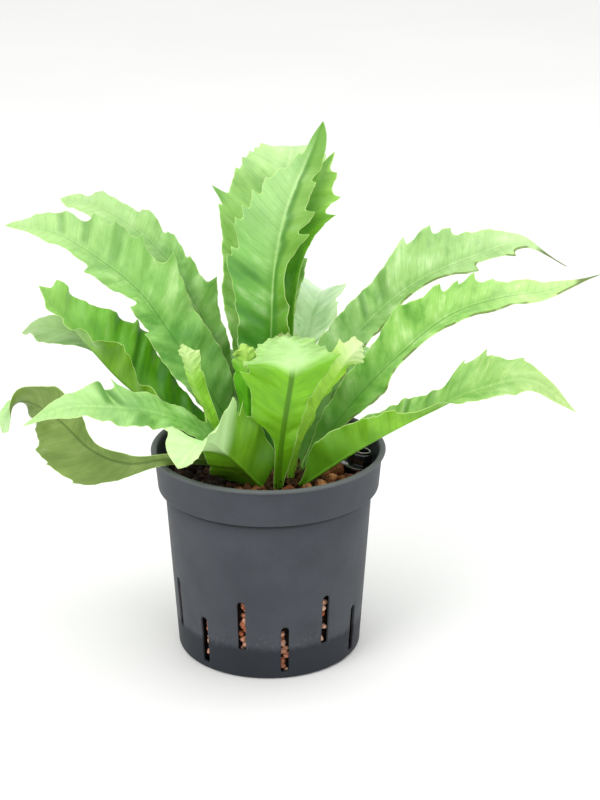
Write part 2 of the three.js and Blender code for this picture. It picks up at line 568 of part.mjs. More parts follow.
// The blade's middle surface: vertices with the amounts it is thickened up and down, and
// triangles that run anticlockwise seen from the upper face; room widens it all round
function bladeSurface(frond, room = 0) {
  const left = withFeet(edgeOutline(frond.left), frond.length);
  const right = withFeet(edgeOutline(frond.right), frond.length, left.map((row) => row.foot));
  const vertices = [];
  const triangles = [];
  const feet = [...new Set([...left, ...right].map((row) => row.foot))].sort((a, b) => a - b);
  const half = BLADE_THICKNESS / 2 + room;
  const midrib = new Map();
  for (const foot of [...feet, frond.length]) {
    const { centre, face } = frameAt(frond, foot);
    const thinning = 1 - foot / frond.length;
    midrib.set(foot, vertices.length);
    const up = half + RIB_RISE * thinning ** 3;
    vertices.push({ point: centre, normal: face, up, down: half + RIB_DEPTH * thinning });
  }
  for (const [side, rows] of [[-1, left], [1, right]]) {
    const face = (a, b, c) => triangles.push(side > 0 ? [a, b, c] : [a, c, b]);
    const columns = rows.map(({ foot, distance, reach }) => [0.5, 1].map((part) => {
      const spot = bladePoint(frond, side, foot + (distance - foot) * part, (reach + room) * part);
      vertices.push({ point: spot.point, normal: spot.normal, up: half, down: half });
      return vertices.length - 1;
    }));
    rows.forEach((row, index) => {
      const isLast = index === rows.length - 1;
      const end = isLast ? frond.length : rows[index + 1].foot;
      const between = [...feet, frond.length].filter((foot) => foot >= row.foot && foot <= end);
      const [inner, edge] = columns[index];
      const tip = midrib.get(frond.length);
      for (let step = 0; step < between.length - 1; step += 1) {
        face(midrib.get(between[step]), inner, midrib.get(between[step + 1]));
      }
      if (isLast) {
        face(inner, edge, tip);
        return;
      }
      const [nextInner, nextEdge] = columns[index + 1];
      face(midrib.get(end), inner, nextInner);
      face(inner, edge, nextEdge);
      face(inner, nextEdge, nextInner);
    });
  }
  return { vertices, triangles };
}

// Thickens a surface: the same triangles above and below, joined round the free edge
function thicken({ vertices, triangles }) {
  const positions = [];
  for (const { point, normal, up, down } of vertices) {
    positions.push(...point.clone().addScaledVector(normal, up), ...point.clone().addScaledVector(normal, -down));
  }
  const faces = [];
  const edges = new Map();
  for (const [a, b, c] of triangles) {
    faces.push(2 * a, 2 * b, 2 * c, 2 * a + 1, 2 * c + 1, 2 * b + 1);
    for (const [from, to] of [[a, b], [b, c], [c, a]]) {
      if (!edges.delete(`${to} ${from}`)) edges.set(`${from} ${to}`, [from, to]);
    }
  }
  for (const [from, to] of edges.values()) {
    faces.push(2 * from, 2 * from + 1, 2 * to + 1, 2 * from, 2 * to + 1, 2 * to);
  }
  return closedGeometry(positions, faces);
}

// Finishes

function potPlastic() {
  return new THREE.MeshStandardMaterial({ color: POT_GREY, roughness: 0.55, metalness: 0 });
}

function sleevePlastic() {
  return new THREE.MeshStandardMaterial({ color: SLEEVE_BLACK, roughness: 0.35, metalness: 0 });
}

function clay() {
  return new THREE.MeshStandardMaterial({ color: PEBBLE_BROWN, roughness: 0.95 });
}

function scales() {
  return new THREE.MeshStandardMaterial({ color: SCALE_BROWN, roughness: 1 });
}

function leaf(colour) {
  return new THREE.MeshStandardMaterial({ color: colour, roughness: 0.5, metalness: 0 });
}

const fern = new THREE.Group();

function addPiece(name, geometry, material) {
  const mesh = new THREE.Mesh(geometry, material);
  mesh.name = name;
  fern.add(mesh);
}

const fronds = FRONDS.map(withPath);
const sockets = fronds.map(stalkSocket);
addPiece('pot', potGeometry(), potPlastic());
addPiece('pebble_bed', bedGeometry(sockets), clay());
addPiece('gauge_sleeve', sleeveGeometry(), sleevePlastic());
addPiece('rhizome', crownGeometry(sockets), scales());
for (const frond of fronds) {
  addPiece(frond.name, thicken(bladeSurface(frond)), leaf(frond.green));
}

export default fern;
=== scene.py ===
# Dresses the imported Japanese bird's nest fern: fine fronds on the source's own paths and
# outlines, a pot with its slots and wet foot, loose clay pebbles, the gauge sleeve and the crown.
# The scene is in metres; the measures in this file are millimetres in the source's frame.
import math
import random
from typing import NamedTuple

import bmesh
import bpy
import numpy as np
from mathutils import Matrix, Vector


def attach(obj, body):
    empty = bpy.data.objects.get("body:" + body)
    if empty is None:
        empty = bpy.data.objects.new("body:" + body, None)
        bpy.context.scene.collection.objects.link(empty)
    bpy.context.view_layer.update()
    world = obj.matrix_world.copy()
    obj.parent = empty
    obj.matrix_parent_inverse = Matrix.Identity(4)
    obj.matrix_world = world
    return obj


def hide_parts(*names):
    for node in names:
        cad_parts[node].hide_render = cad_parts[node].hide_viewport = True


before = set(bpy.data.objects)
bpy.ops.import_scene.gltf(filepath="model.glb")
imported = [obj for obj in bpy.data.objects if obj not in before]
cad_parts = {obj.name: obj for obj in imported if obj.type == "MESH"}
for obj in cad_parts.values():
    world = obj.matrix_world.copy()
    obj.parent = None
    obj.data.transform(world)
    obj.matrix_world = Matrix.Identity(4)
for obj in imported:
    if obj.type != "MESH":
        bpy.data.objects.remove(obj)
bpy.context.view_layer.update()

MM = 0.001

# Blade measures, as in the source
FROND_START = 98
STALK_HALF = 2.1
STALK_FLARE = 0.9
STALK_LENGTH = 10
RIB_DEPTH = 1.0
VEIN_SLANT = 0.55
NOTCH_LEAN = 0.25
WAVE_LENGTH = 27
WAVE_HEIGHT = 1.3
WAVE_RISE = 12
HALF_THICKNESS = 0.3
PHASE_STEP = 1.7

# How a margin's corners are rounded: shares of the edges before and after, and the most in length
ROUNDING = {"notch": ((0.6, 0.4), 4.0), "plain": ((0.45, 0.45), 12.0)}
MARGIN_STEP = 0.6
MARGIN_BELLY = 0.045
# Fine waves of a margin, as (height, angle in radians for each millimetre)
RIPPLES = ((0.3, 0.61), (0.12, 1.5))

# Sampling of the fine blades
ROW_STEP = 1.15
CORNER_BEND = 0.25
LEAST_ROW_GAP = 0.17
RIB_COLUMNS = [0.0, 0.4, 0.85, 1.35, 1.95, 2.7]
BLADE_COLUMNS = [0.16, 0.32, 0.48, 0.63, 0.76, 0.87, 0.95, 1.0]

# Fine forms of a blade, as (height, length along the midrib), with the half width at which they
# set in and the gain in width over which they grow
SMALL_FOLD = (0.16, 8.5)
BROAD_FOLD = (0.85, 16.5)
RUFFLE = (0.3, 7.3)
FOLDED_FROM = 5
FOLDED_OVER = 8

# The raised midrib of the upper face, and the thin margin with its least share of the thickness
UPPER_RIB_HEIGHT = 0.22
UPPER_RIB_HALF = 0.8
MARGIN_TAPER = 1.2
THINNEST = 0.35

FINE_VEIN_GAP = 1.45
MAIN_VEIN_GAP = 4.6


class Frond(NamedTuple):
    """A frond's midrib through given points, and its margins as distance, reach and notch depth."""

    name: str
    heading: int
    turn: list
    left_rise: list
    right_rise: list
    spine: list
    left: list
    right: list


# Paths, twists, side rises and outlines, as in the source but for finer teeth and lobes
FRONDS = [
    Frond(
        "upright_centre", 180, [0], [20, 18, 15, 12, 10], [35, 30, 25, 20],
        [[8, 3], [2, 11, 141], [2, 18, 178], [4, 25, 213], [10, 32, 242], [20, 39, 266], [31, 45, 290]],
        [[35, 12], [67, 18], [100, 20], [122, 28, 3], [126, 26, 6], [140, 27, 5], [146, 24, 5],
            [154, 22, 7], [162, 17, 2], [170, 11, 2], [181, 5, 2]],
        [[44, 13], [83, 12], [101, 8], [121, 6], [140, 18, 8], [154, 17, 7], [170, 11, 4], [179, 10],
            [194, 7]],
    ),
    Frond(
        "upright_behind", -172, [0], [15, 12, 5, 0], [15, 12, 5, 0],
        [[4, 8], [0, 26, 137], [-3, 37, 174], [0, 47, 211], [7, 60, 242], [13, 76, 261], [15, 95, 264],
            [17, 113, 256]],
        [[49, 9], [92, 23], [125, 26], [144, 33, 3], [153, 39, 11], [165, 28, 3], [174, 26, 3],
            [182, 23.5, 3], [189, 21, 2.5], [196, 18, 2], [205, 13, 2], [213, 6, 1]],
        [[49, 12], [90, 18], [125, 22, 5], [145, 24, 6], [165, 23, 5], [185, 20, 5], [203, 12, 3]],
    ),
    Frond(
        "upright_right", 168, [0], [10], [15],
        [[12, 6], [10, 22, 138], [12, 31, 177], [15, 38, 210], [20, 44, 236], [28, 51, 255],
            [38, 58, 270]],
        [[50, 8], [100, 10], [150, 8], [172, 4]],
        [[42, 6], [80, 2.5], [102, 3], [117, 4], [139, 10], [151, 19, 7], [163, 16, 5], [175, 9, 5]],
    ),
    Frond(
        "upper_left_long", -118, [20, 30, 35, 35, 25, 10], [10, 5, 0, 0], [10, 10, 5, 5],
        [[0, -1], [-20, 8, 125], [-36, 16, 150], [-53, 26, 173], [-71, 38, 195], [-94, 52, 210],
            [-120, 64, 222], [-149, 74, 224]],
        [[44, 6], [73, 13], [97, 13], [105, 13, 4], [123, 11, 6], [147, 12], [160, 11, 4], [177, 7],
            [192, 8], [210, 3]],
        [[47, 11], [70, 19], [100, 19], [118, 22], [132, 31, 10], [140, 20], [151, 28, 4], [167, 26, 5],
            [179, 24, 6], [192, 18, 1], [211, 13]],
    ),
    Frond(
        "upper_left_behind", -135, [0, 10, 20, 20, 10], [10, 5, 0], [10, 5, 0],
        [[-7, 5], [-17, 21, 130], [-28, 34, 157], [-40, 49, 183], [-56, 67, 204], [-77, 85, 219],
            [-99, 99, 228], [-121, 110, 230]],
        [[54, 8], [95, 13, 4], [120, 15, 5], [150, 15, 5], [180, 14, 4], [207, 9]],
        [[54, 7], [94, 11], [101, 13], [113, 19, 8], [130, 12, 2], [151, 14, 3], [172, 16, 4], [187, 11],
            [203, 16, 3], [213, 7]],
    ),
    Frond(
        "left_forked", -96, [0, 10, 15, 15, 10], [40, 60, 75, 90, 85, 30, 5], [25, 30, 30, 25, 15, 5],
        [[-6, -5], [-26, 4, 115], [-47, 9, 127], [-65, 12, 138], [-82, 14, 152], [-96, 16, 168],
            [-111, 18, 186], [-125, 20, 205]],
        [[32, 6], [50, 9], [77, 9], [88, 8], [97, 13], [105, 18], [111, 19, 3], [117, 16], [123, 21, 2],
            [129, 13], [135, 17, 3], [143, 11, 3], [153, 9]],
        [[50, 14], [77, 24], [97, 33], [113, 36, 4], [124, 29], [137, 22], [149, 18], [160, 16, 8]],
    ),
    Frond(
        "left_low_pale", -108, [0, 10, 10, 10], [10], [10],
        [[-8, 0], [-28, 14, 117], [-46, 24, 127], [-62, 31, 139], [-77, 36, 153], [-94, 39, 163],
            [-111, 42, 170], [-127, 44, 172], [-139, 45, 169]],
        [[50, 6], [90, 6], [115, 10, 2], [130, 15], [146, 22], [157, 13]],
        [[50, 6], [90, 8], [115, 10, 2], [141, 12, 2], [151, 12], [160, 9]],
    ),
    Frond(
        "left_light", -70, [0, 15, 20, 20, 10], [-10, -5, 5, 5, 5], [5, 10, 10, 10],
        [[-3, -12], [-22, -17, 122], [-42, -26, 141], [-63, -35, 152], [-83, -44, 158], [-105, -53, 161],
            [-127, -60, 154]],
        [[24, 6], [42, 9], [54, 11], [69, 11], [82, 12], [95, 18], [106, 14], [123, 12], [137, 7]],
        [[25, 3.5], [36, 6], [47, 15, 5], [60, 7], [73, 13], [85, 11], [97, 15], [104, 21, 8],
            [111, 15, 4], [121, 14], [138, 6]],
    ),
    Frond(
        "left_drooping", -68, [-20, -50, -75, -85, -85, -75, -40, 20], [10, 5, 0, 0, 0], [10, 5, 0, 0, 0],
        [[-7, -11], [-32, -20, 117], [-55, -31, 123], [-76, -34, 122], [-95, -34, 130], [-113, -30, 147],
            [-129, -26, 155], [-138, -25, 150], [-143, -24, 136]],
        [[35, 7], [62, 2], [81, 6], [100, 4], [114, 8], [125, 15, 1], [133, 17], [142, 14], [152, 11],
            [165, 9]],
        [[35, 4], [69, 4], [81, 9], [100, 21, 2], [112, 22, 2], [123, 21, 3], [134, 15, 2], [148, 10],
            [164, 10]],
    ),
    Frond(
        "front_left", 8, [0], [15, 35, 42, 50, 55, 30], [20, 22, 15, 2, -8],
        [[0, -20], [-9, -27, 110], [-16, -34, 121], [-24, -42, 132], [-30, -51, 141], [-36, -58, 142],
            [-42, -63, 138], [-47, -66, 132]],
        [[8, 10], [16, 18], [26, 22], [36, 25], [44, 24, 2], [52, 28, 9], [61, 26, 9], [69, 14, 3],
            [78, 8], [84, 4]],
        [[10, 8], [15, 17], [19, 22], [28, 20], [40, 14], [50, 14], [58, 17, 2], [68, 20, 3], [77, 19, 3],
            [84, 11]],
    ),
    Frond(
        "front_centre", 0, [0], [-10, 0, 5, 10], [-10, 0, 5, 10],
        [[5, -22], [7, -28, 129], [10, -33, 153], [13, -33, 174], [12, -20, 181], [8, -5, 185]],
        [[22, 6], [40, 8], [65, 11], [76, 17], [90, 27, 8], [99, 21, 4], [105, 17, 4]],
        [[32, 3], [40, 8], [49, 19], [58, 18.5], [65, 22], [73, 28, 6], [86, 25], [94, 26.5, 8], [99, 18],
            [105, 15, 4]],
    ),
    Frond(
        "young_left", -25, [0], [30], [30],
        [[-1, -8], [-25, -7, 122], [-33, -7, 142], [-40, -7, 160], [-44, -7, 173], [-46, -6, 180]],
        [[30, 3], [45, 4], [60, 4], [78, 6, 1], [90, 8, 2]],
        [[30, 3.5], [45, 6], [60, 7], [82, 7, 1], [92, 8, 2]],
    ),
    Frond(
        "young_centre", -10, [0], [35], [35],
        [[3, -4], [-9, -4, 123], [-11, -5, 147], [-11, -6, 163], [-12, -4, 174], [-14, 0, 178]],
        [[30, 5], [50, 6], [65, 6], [76, 9, 3], [84, 6, 2]],
        [[30, 6], [50, 9], [65, 10, 1], [76, 12, 3], [84, 8, 2]],
    ),
    Frond(
        "young_right", 22, [0], [40, 50, 45, 30], [20, 20, 10],
        [[12, -12], [16, -14, 121], [24, -16, 142], [32, -17, 158], [41, -16, 172], [51, -12, 182]],
        [[28, 6], [48, 11], [68, 14], [82, 16, 3], [92, 11, 3]],
        [[30, 5], [52, 8], [66, 12, 2], [80, 11, 2], [88, 11, 4], [95, 6, 2]],
    ),
    Frond(
        "right_upper", 118, [-20, -35, -45, -45, -30], [10, 5, 0, 0], [10, 5, 0, 0],
        [[15, 2], [25, 8, 135], [40, 18, 163], [60, 28, 184], [85, 38, 201], [115, 46, 212],
            [143, 52, 218], [170, 57, 203]],
        [[35, 9], [69, 15.5], [97, 15], [122, 16], [140, 27, 6], [154, 27, 7], [164, 22, 5], [182, 12],
            [196, 7.5], [206, 3], [213, 1.2]],
        [[40, 8], [80, 8], [107, 8], [122, 4], [149, 4], [168, 9, 5], [183, 5], [192, 8, 3], [199, 3],
            [206, 1.2], [214, 1.1]],
    ),
    Frond(
        "right_long", 96, [-30, -50, -55, -50, -30, -20], [10, 10, 5, 0], [10, 10, 5, 0],
        [[16, -4], [33, -4, 126], [50, -2, 148], [72, 0, 171], [97, 3, 191], [123, 6, 200], [152, 9, 204],
            [181, 12, 212]],
        [[48, 11], [87, 14], [98, 18], [110, 22, 2], [119, 16], [130, 19, 6], [138, 17, 4], [147, 18, 6],
            [156, 13, 2], [170, 10], [187, 6.5], [196, 2.6], [203, 1.1]],
        [[42, 4], [55, 8], [68, 10], [76, 9], [87, 4], [110, 4], [146, 7], [166, 7], [186, 6], [196, 3],
            [203, 1.1]],
    ),
    Frond(
        "right_front", 74, [0, 0, 0, -15, -25, -25], [30, 35, 35, 20, 5, 0], [60, 85, 85, 60, 5, 0, 0],
        [[13, -18], [27, -22, 109], [48, -30, 127], [69, -38, 143], [88, -42, 155], [109, -46, 167],
            [136, -51, 174], [160, -58, 159]],
        [[30, 13], [51, 18], [84, 16], [103, 10], [112, 15], [119, 23, 4], [131, 27, 6], [141, 14],
            [147, 16, 2], [158, 6], [171, 3]],
        [[28, 18], [51, 15], [68, 13, 2], [80, 11, 3], [94, 4], [112, 9], [129, 11], [147, 9], [159, 6],
            [170, 3]],
    ),
    Frond(
        "back_pale", 158, [0], [15, 20, 30, 30], [15, 20, 30, 30],
        [[18, 7], [15, 24, 128], [18, 38, 156], [24, 52, 172], [29, 68, 183], [33, 86, 180]],
        [[40, 8], [79, 9], [98, 11], [110, 14], [122, 18, 2]],
        [[40, 8], [78, 12], [88, 21], [96, 22, 2], [110, 18, 5]],
    ),
    Frond(
        "back_low", 176, [0], [15, 10, 5], [15, 10, 5],
        [[7, 12], [8, 32, 128], [7, 56, 148], [6, 84, 157], [4, 110, 151], [2, 132, 134]],
        [[30, 9], [60, 15, 3], [82, 19, 5], [104, 18, 5], [126, 14, 4], [144, 7]],
        [[34, 10], [66, 16, 4], [90, 20, 5], [112, 16, 5], [134, 11, 4]],
    ),
    Frond(
        "back_right_low", 145, [0], [15, 10, 5], [15, 10, 5],
        [[20, 2], [32, 24, 120], [45, 44, 136], [56, 64, 144], [64, 84, 143], [70, 102, 133]],
        [[28, 8], [54, 13, 3], [74, 17, 4], [94, 15, 5], [112, 9, 3]],
        [[26, 8], [48, 14, 3], [68, 17, 5], [86, 16, 5], [104, 11, 3]],
    ),
    Frond(
        "back_left_low", -152, [0], [15, 10, 5], [15, 10, 5],
        [[-2, 11], [-13, 29, 121], [-25, 47, 140], [-34, 66, 149], [-41, 86, 149], [-46, 105, 139]],
        [[26, 8], [50, 14, 3], [72, 17, 5], [92, 15, 5], [110, 10, 3]],
        [[30, 8], [58, 15, 4], [80, 17, 5], [100, 13, 4]],
    ),
]


class Look(NamedTuple):
    """Colours and small forms of one frond, with places as shares of its length."""

    upper: str
    under: str
    pale: str
    # Where the pale tip sets in and is full: partly the young tips' own paler colour, partly a painted
    # highlight where a blade turns to the light
    pale_start: float
    pale_end: float
    # The midrib's line: below 0 dark, above 0 pale
    rib_tone: float
    # How far the young tip is crumpled
    crumpled: float = 0.0
    slot: str = "leaf"
    # How strong the folds of the left and right halves are
    folds: tuple = (1.15, 1.15)
    # Single folds as (side, vein, half width, height)
    creases: tuple = ()
    # Half width of the midrib's line
    rib_line: float = 0.85
    # A darker tip as (start, end, colour)
    tail: tuple = ()
    # Where the right half falls into shade, from the margin to the midrib
    shaded: tuple = ()
    # Whether the right margin has the brown line of a rolled edge, and whether the right half is painted
    # warmer and darker as in shade, with the left half painted cooler and lighter
    rolled: bool = False
    warm: bool = False


BACK_LOOK = Look("78b450", "8fae62", "b0da8a", 0.65, 1.0, -0.3)
LOOKS = {
    "upright_centre": Look(
        "68ae20", "8fae62", "c2e89e", 0.4, 0.84, 0.45, folds=(1.9, 1.2), warm=True,
        creases=((-1, 52, 5, -1.6), (-1, 84, 5, -1.8), (-1, 106, 4, -1.4), (1, 92, 6, -1.4)),
        tail=(0.82, 1.0, "5e9c22"),
    ),
    "upright_behind": Look("90c25e", "8fae5c", "cceaaa", 0.5, 1.0, 0.3),
    "upright_right": Look("6eb416", "86a858", "a8d868", 0.6, 1.0, 0.0, shaded=(0.9, 0.15)),
    "upper_left_long": Look(
        "80b854", "93b06a", "bade92", 0.5, 1.0, -0.6,
        creases=((1, 184, 5, -1.3), (1, 169, 6, -1.6), (1, 149, 7, -1.4)),
    ),
    "upper_left_behind": Look("84b95a", "8fae62", "b8da92", 0.5, 1.0, -0.5),
    "left_forked": Look(
        "60a814", "75ac1c", "98ca62", 0.6, 1.0, -0.5, folds=(2.8, 1.4),
        creases=((-1, 62, 5, -1.5), (-1, 82, 6, -1.8), (1, 44, 7, -2.0), (1, 88, 5, -1.6)),
    ),
    "left_low_pale": Look("7aa45a", "7c9c60", "a4c482", 0.55, 0.95, 0.0, slot="leaf_pale"),
    "left_light": Look(
        "88bd5e", "90b062", "b8e094", 0.35, 1.0, 0.0, folds=(1.2, 1.4),
        creases=((1, 107, 4, 5.0), (1, 99, 4, -2.4), (-1, 88, 7, -1.5)),
    ),
    "left_drooping": Look("a8d684", "829c4c", "bfe2a0", 0.88, 0.98, -0.6),
    "front_left": Look("b0de84", "78b420", "cef2ae", 0.45, 0.56, 0.0, 0.5, folds=(1.4, 1.4)),
    "front_centre": Look(
        "a6d878", "7abc18", "ccecac", 0.66, 0.73, -0.9, 2.2, "leaf_young",
        rib_line=1.9, tail=(0.95, 1.0, "76863c"),
    ),
    "young_left": Look("a6de52", "a0dc42", "d6f2a4", 0.72, 0.95, 0.0, 1.3, "leaf_young"),
    "young_centre": Look("6cbc0c", "66b808", "bce26c", 0.72, 0.95, 0.0, 1.4, "leaf_young"),
    "young_right": Look("bcf25c", "bcf450", "e6f8be", 0.72, 0.95, 0.0, 1.3, "leaf_young"),
    "right_upper": Look(
        "94c36a", "90b266", "cceaaa", 0.45, 1.0, -0.3, rolled=True,
        creases=((-1, 97, 4, -2.2), (-1, 112, 5, 1.6)), tail=(0.9, 0.93, "56682a"),
    ),
    "right_long": Look(
        "90c75a", "8dae60", "d0eea2", 0.5, 1.0, -0.6, folds=(1.2, 1.5), rolled=True,
        tail=(0.925, 0.95, "56682a"),
    ),
    "right_front": Look(
        "8aba5a", "82be2c", "c0dc90", 0.65, 1.0, 0.0, creases=((-1, 77, 4, -2.6), (-1, 92, 6, 1.6)),
    ),
    # Painted light: colours raised so that this frond stays pale in the shade it stands in
    "back_pale": Look("d6f8c0", "c6ecb4", "e2fad8", 0.55, 0.95, 0.4, slot="leaf_pale"),
    "back_low": BACK_LOOK,
    "back_right_low": BACK_LOOK,
    "back_left_low": BACK_LOOK,
}


def linear(text):
    """A colour for the shader from its RRGGBB text."""
    parts = [int(text[i : i + 2], 16) / 255 for i in (0, 2, 4)]
    return [p / 12.92 if p <= 0.04045 else ((p + 0.055) / 1.055) ** 2.4 for p in parts] + [1.0]


def shade(colour, red, green, blue):
    """The colour with each part scaled and kept in range."""
    return [min(1.0, c * k) for c, k in zip(colour, (red, green, blue))] + [1.0]


PALE_RIB = linear("c4e29c")
PALE_MARGIN = linear("cfec98")
BROWN_MARGIN = linear("63742c")
# Painted light: the cooler tint of the lit left half of a warm frond
LIT_HALF_TINT = linear("8ccb84")


# Scene helpers


def add_object(name, data):
    made = bpy.data.objects.new(name, data)
    bpy.context.scene.collection.objects.link(made)
    return made


def store(mesh, name, numbers):
    layer = mesh.attributes.new(name, "FLOAT", "POINT")
    layer.data.foreach_set("value", np.asarray(numbers, np.float32))


def joined_mesh(name, parts, **numbers):
    """One mesh from (points, faces) parts, with a list of one number a part for each name."""
    points, faces = [], []
    total = 0
    for more_points, more_faces in parts:
        faces += [[total + i for i in face] for face in more_faces]
        points.append(more_points)
        total += len(more_points)
    mesh = bpy.data.meshes.new(name)
    mesh.from_pydata((np.vstack(points) * MM).tolist(), [], faces)
    for key, values in numbers.items():
        store(mesh, key, np.repeat(values, [len(p) for p in points]))
    return mesh


def apply_modifiers(target):
    shaped = target.evaluated_get(bpy.context.evaluated_depsgraph_get())
    target.data = bpy.data.meshes.new_from_object(shaped)
    target.modifiers.clear()


def fuse(target, others, operation="UNION"):
    """Joins other solids to the target, or cuts them off it, and removes them."""
    for other in others:
        step = target.modifiers.new("step", "BOOLEAN")
        step.operation = operation
        step.solver = "EXACT"
        step.object = other
        apply_modifiers(target)
        bpy.data.objects.remove(other)


def spin(points, axis, angle):
    """The points turned round one axis."""
    i, j = (axis + 1) % 3, (axis + 2) % 3
    turned = points.copy()
    turned[:, i] = points[:, i] * math.cos(angle) - points[:, j] * math.sin(angle)
    turned[:, j] = points[:, i] * math.sin(angle) + points[:, j] * math.cos(angle)
    return turned


def set_piece(made, material, node, slot):
    made.data.materials.clear()
    made.data.materials.append(material)
    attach(made, "root")
    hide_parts(node)


# Blade geometry


def cubic(before, start, end, after, f):
    """A smooth run from start to end, with slopes that its neighbours set."""
    into, out = (end - before) / 2, (after - start) / 2
    second = 3 * (end - start) - 2 * into - out
    third = 2 * (start - end) + into + out
    return start + into * f + second * f**2 + third * f**3


def smooth_along(values, fraction):
    """Smooth values at fractions of the way through an evenly spaced list."""
    values = np.asarray(values, float)
    last = len(values) - 1
    place = np.clip(np.asarray(fraction, float), 0, 1) * last
    if last == 0:
        return np.full(place.shape, values[0])
    index = np.minimum(np.floor(place).astype(int), last - 1)
    return cubic(*(values[np.clip(index + k, 0, last)] for k in (-1, 0, 1, 2)), place - index)


class Spine:
    """The midrib's path through the given points, read by distance from the root."""

    STEPS = 60

    def __init__(self, points):
        hand = np.array([(*point, FROND_START)[:3] for point in points], float)
        ends = np.vstack([2 * hand[0] - hand[1], hand, 2 * hand[-1] - hand[-2]])
        t = np.linspace(0, 1, self.STEPS, endpoint=False)[:, None]
        runs = [cubic(*near, t) for near in zip(ends, ends[1:], ends[2:], ends[3:])]
        self.points = np.vstack(runs + [hand[-1:]])
        steps = np.linalg.norm(np.diff(self.points, axis=0), axis=1)
        self.reach = np.concatenate([[0], np.cumsum(steps)])
        self.length = self.reach[-1]
        self.tangents = np.gradient(self.points, self.reach, axis=0)

    def at(self, distance):
        centre, forward = (
            np.stack([np.interp(distance, self.reach, line[:, k]) for k in range(3)], -1)
            for line in (self.points, self.tangents)
        )
        return centre, forward / np.linalg.norm(forward, axis=-1, keepdims=True)


def blade_frame(frond, spine, distance):
    """Midrib points with the directions across the blade and out of its upper face."""
    distance = np.clip(distance, 0, spine.length)
    centre, forward = spine.at(distance)
    heading = math.radians(frond.heading)
    flat = np.array([-math.cos(heading), -math.sin(heading), 0.0])
    across = flat - forward * (forward @ flat)[..., None]
    across /= np.linalg.norm(across, axis=-1, keepdims=True)
    turn = -np.radians(smooth_along(frond.turn, distance / spine.length))[..., None]
    across = across * np.cos(turn) + np.cross(forward, across) * np.sin(turn)
    return centre, across, np.cross(across, forward)


def blade_points(frond, spine, side, distance, out, phase):
    """Points of one half of the blade, and the directions square to it."""
    centre, across, face = blade_frame(frond, spine, distance)
    rises = frond.right_rise if side > 0 else frond.left_rise
    rise = np.radians(smooth_along(rises, np.clip(distance / spine.length, 0, 1)))[..., None]
    outward = side * across * np.cos(rise) + face * np.sin(rise)
    normal = face * np.cos(rise) - side * across * np.sin(rise)
    wave = WAVE_HEIGHT * np.minimum(1, out / WAVE_RISE)
    wave = wave * np.sin(2 * np.pi * distance / WAVE_LENGTH + phase + side)
    return centre + outward * out[..., None] + normal * wave[..., None], normal


def rounded(before, corner, after, shares, most):
    """Points that round one corner of an outline off."""
    start, end = (
        corner + (other - corner) * min(share, most / max(np.linalg.norm(other - corner), 1e-6))
        for other, share in zip((before, after), shares)
    )
    t = np.linspace(0, 1, 7)[:, None]
    return (1 - t) ** 2 * start + 2 * t * (1 - t) * corner + t**2 * end


def margin(teeth, length, side, phase):
    """One margin as points (distance, reach): sharp teeth, round notches, bellied edges between."""
    corners = [(0, STALK_HALF, "plain"), (STALK_LENGTH, STALK_HALF + STALK_FLARE, "plain")]
    for tooth in teeth:
        distance, out, cut = (*tooth, 0)[:3]
        corners.append((distance, out, "tooth" if cut else "plain"))
        if cut:
            corners.append((distance - NOTCH_LEAN * cut, out - cut, "notch"))
    corners.append((length, 0, "tooth"))
    spots = [np.array(corner[:2], float) for corner in corners]
    line = [spots[0][None]]
    for i in range(1, len(corners) - 1):
        kind = corners[i][2]
        tooth = kind == "tooth"
        line.append(spots[i][None] if tooth else rounded(*spots[i - 1 : i + 2], *ROUNDING[kind]))
    line = np.vstack(line + [spots[-1][None]])
    dense = [line[:1]]
    for start, end in zip(line, line[1:]):
        run = np.linalg.norm(end - start)
        t = np.linspace(0, 1, max(1, int(run / MARGIN_STEP)) + 1)[1:, None]
        piece = start + (end - start) * t
        piece[:, 1] += MARGIN_BELLY * max(0, run - 3) * np.sin(np.pi * t[:, 0])
        dense.append(piece)
    dense = np.vstack(dense)
    distance, reach = dense.T
    (long_height, long_pace), (short_height, short_pace) = RIPPLES
    ripple = long_height * np.sin(distance * long_pace + phase)
    ripple += short_height * np.sin(distance * short_pace + 2 * phase + side)
    dense[:, 1] = np.maximum(reach + ripple * np.clip((reach - 4) / 6, 0, 1), 0)
    return dense


def feet_of(edge, length):
    """Where the vein that ends at each margin point leaves the midrib."""
    feet = np.maximum(edge[:, 0] - VEIN_SLANT * edge[:, 1], edge[:, 0] / 2)
    feet = np.minimum(np.maximum.accumulate(feet), length)
    return feet + np.linspace(0, 1e-3, len(feet))


def row_feet(halves, length):
    """Where the rows of a blade leave the midrib: evenly, and where a margin bends."""
    rows = [np.arange(0, length - 0.4, ROW_STEP)]
    for edge, feet in halves.values():
        bends = np.abs(np.diff(edge[:, 1], 2))
        rows += [feet[::6], feet[1:-1][bends > CORNER_BEND]]
    rows = np.concatenate(rows)
    rows = np.unique(np.round(rows[rows < length - 0.35], 2))
    return rows[np.concatenate([[True], np.diff(rows) > LEAST_ROW_GAP])]


def bell(x):
    return np.where(np.abs(x) < 1, 0.5 * (1 + np.cos(np.pi * np.clip(x, -1, 1))), 0)


def crumple(vein, part, phase):
    """Uneven folds for young tips, about 4 mm apart, between -1 and 1."""
    return (
        0.5 * np.sin(1.5 * vein + 2.2 * part + phase)
        + 0.3 * np.sin(2.7 * vein - 6.0 * part + 2.1 * phase)
        + 0.2 * np.sin(4.3 * vein + 9.0 * part + 0.7 * phase)
    )


def swell(form, place, shift):
    """A wave of one of the fine forms."""
    height, length = form
    return height * np.sin(2 * np.pi * place / length + shift)


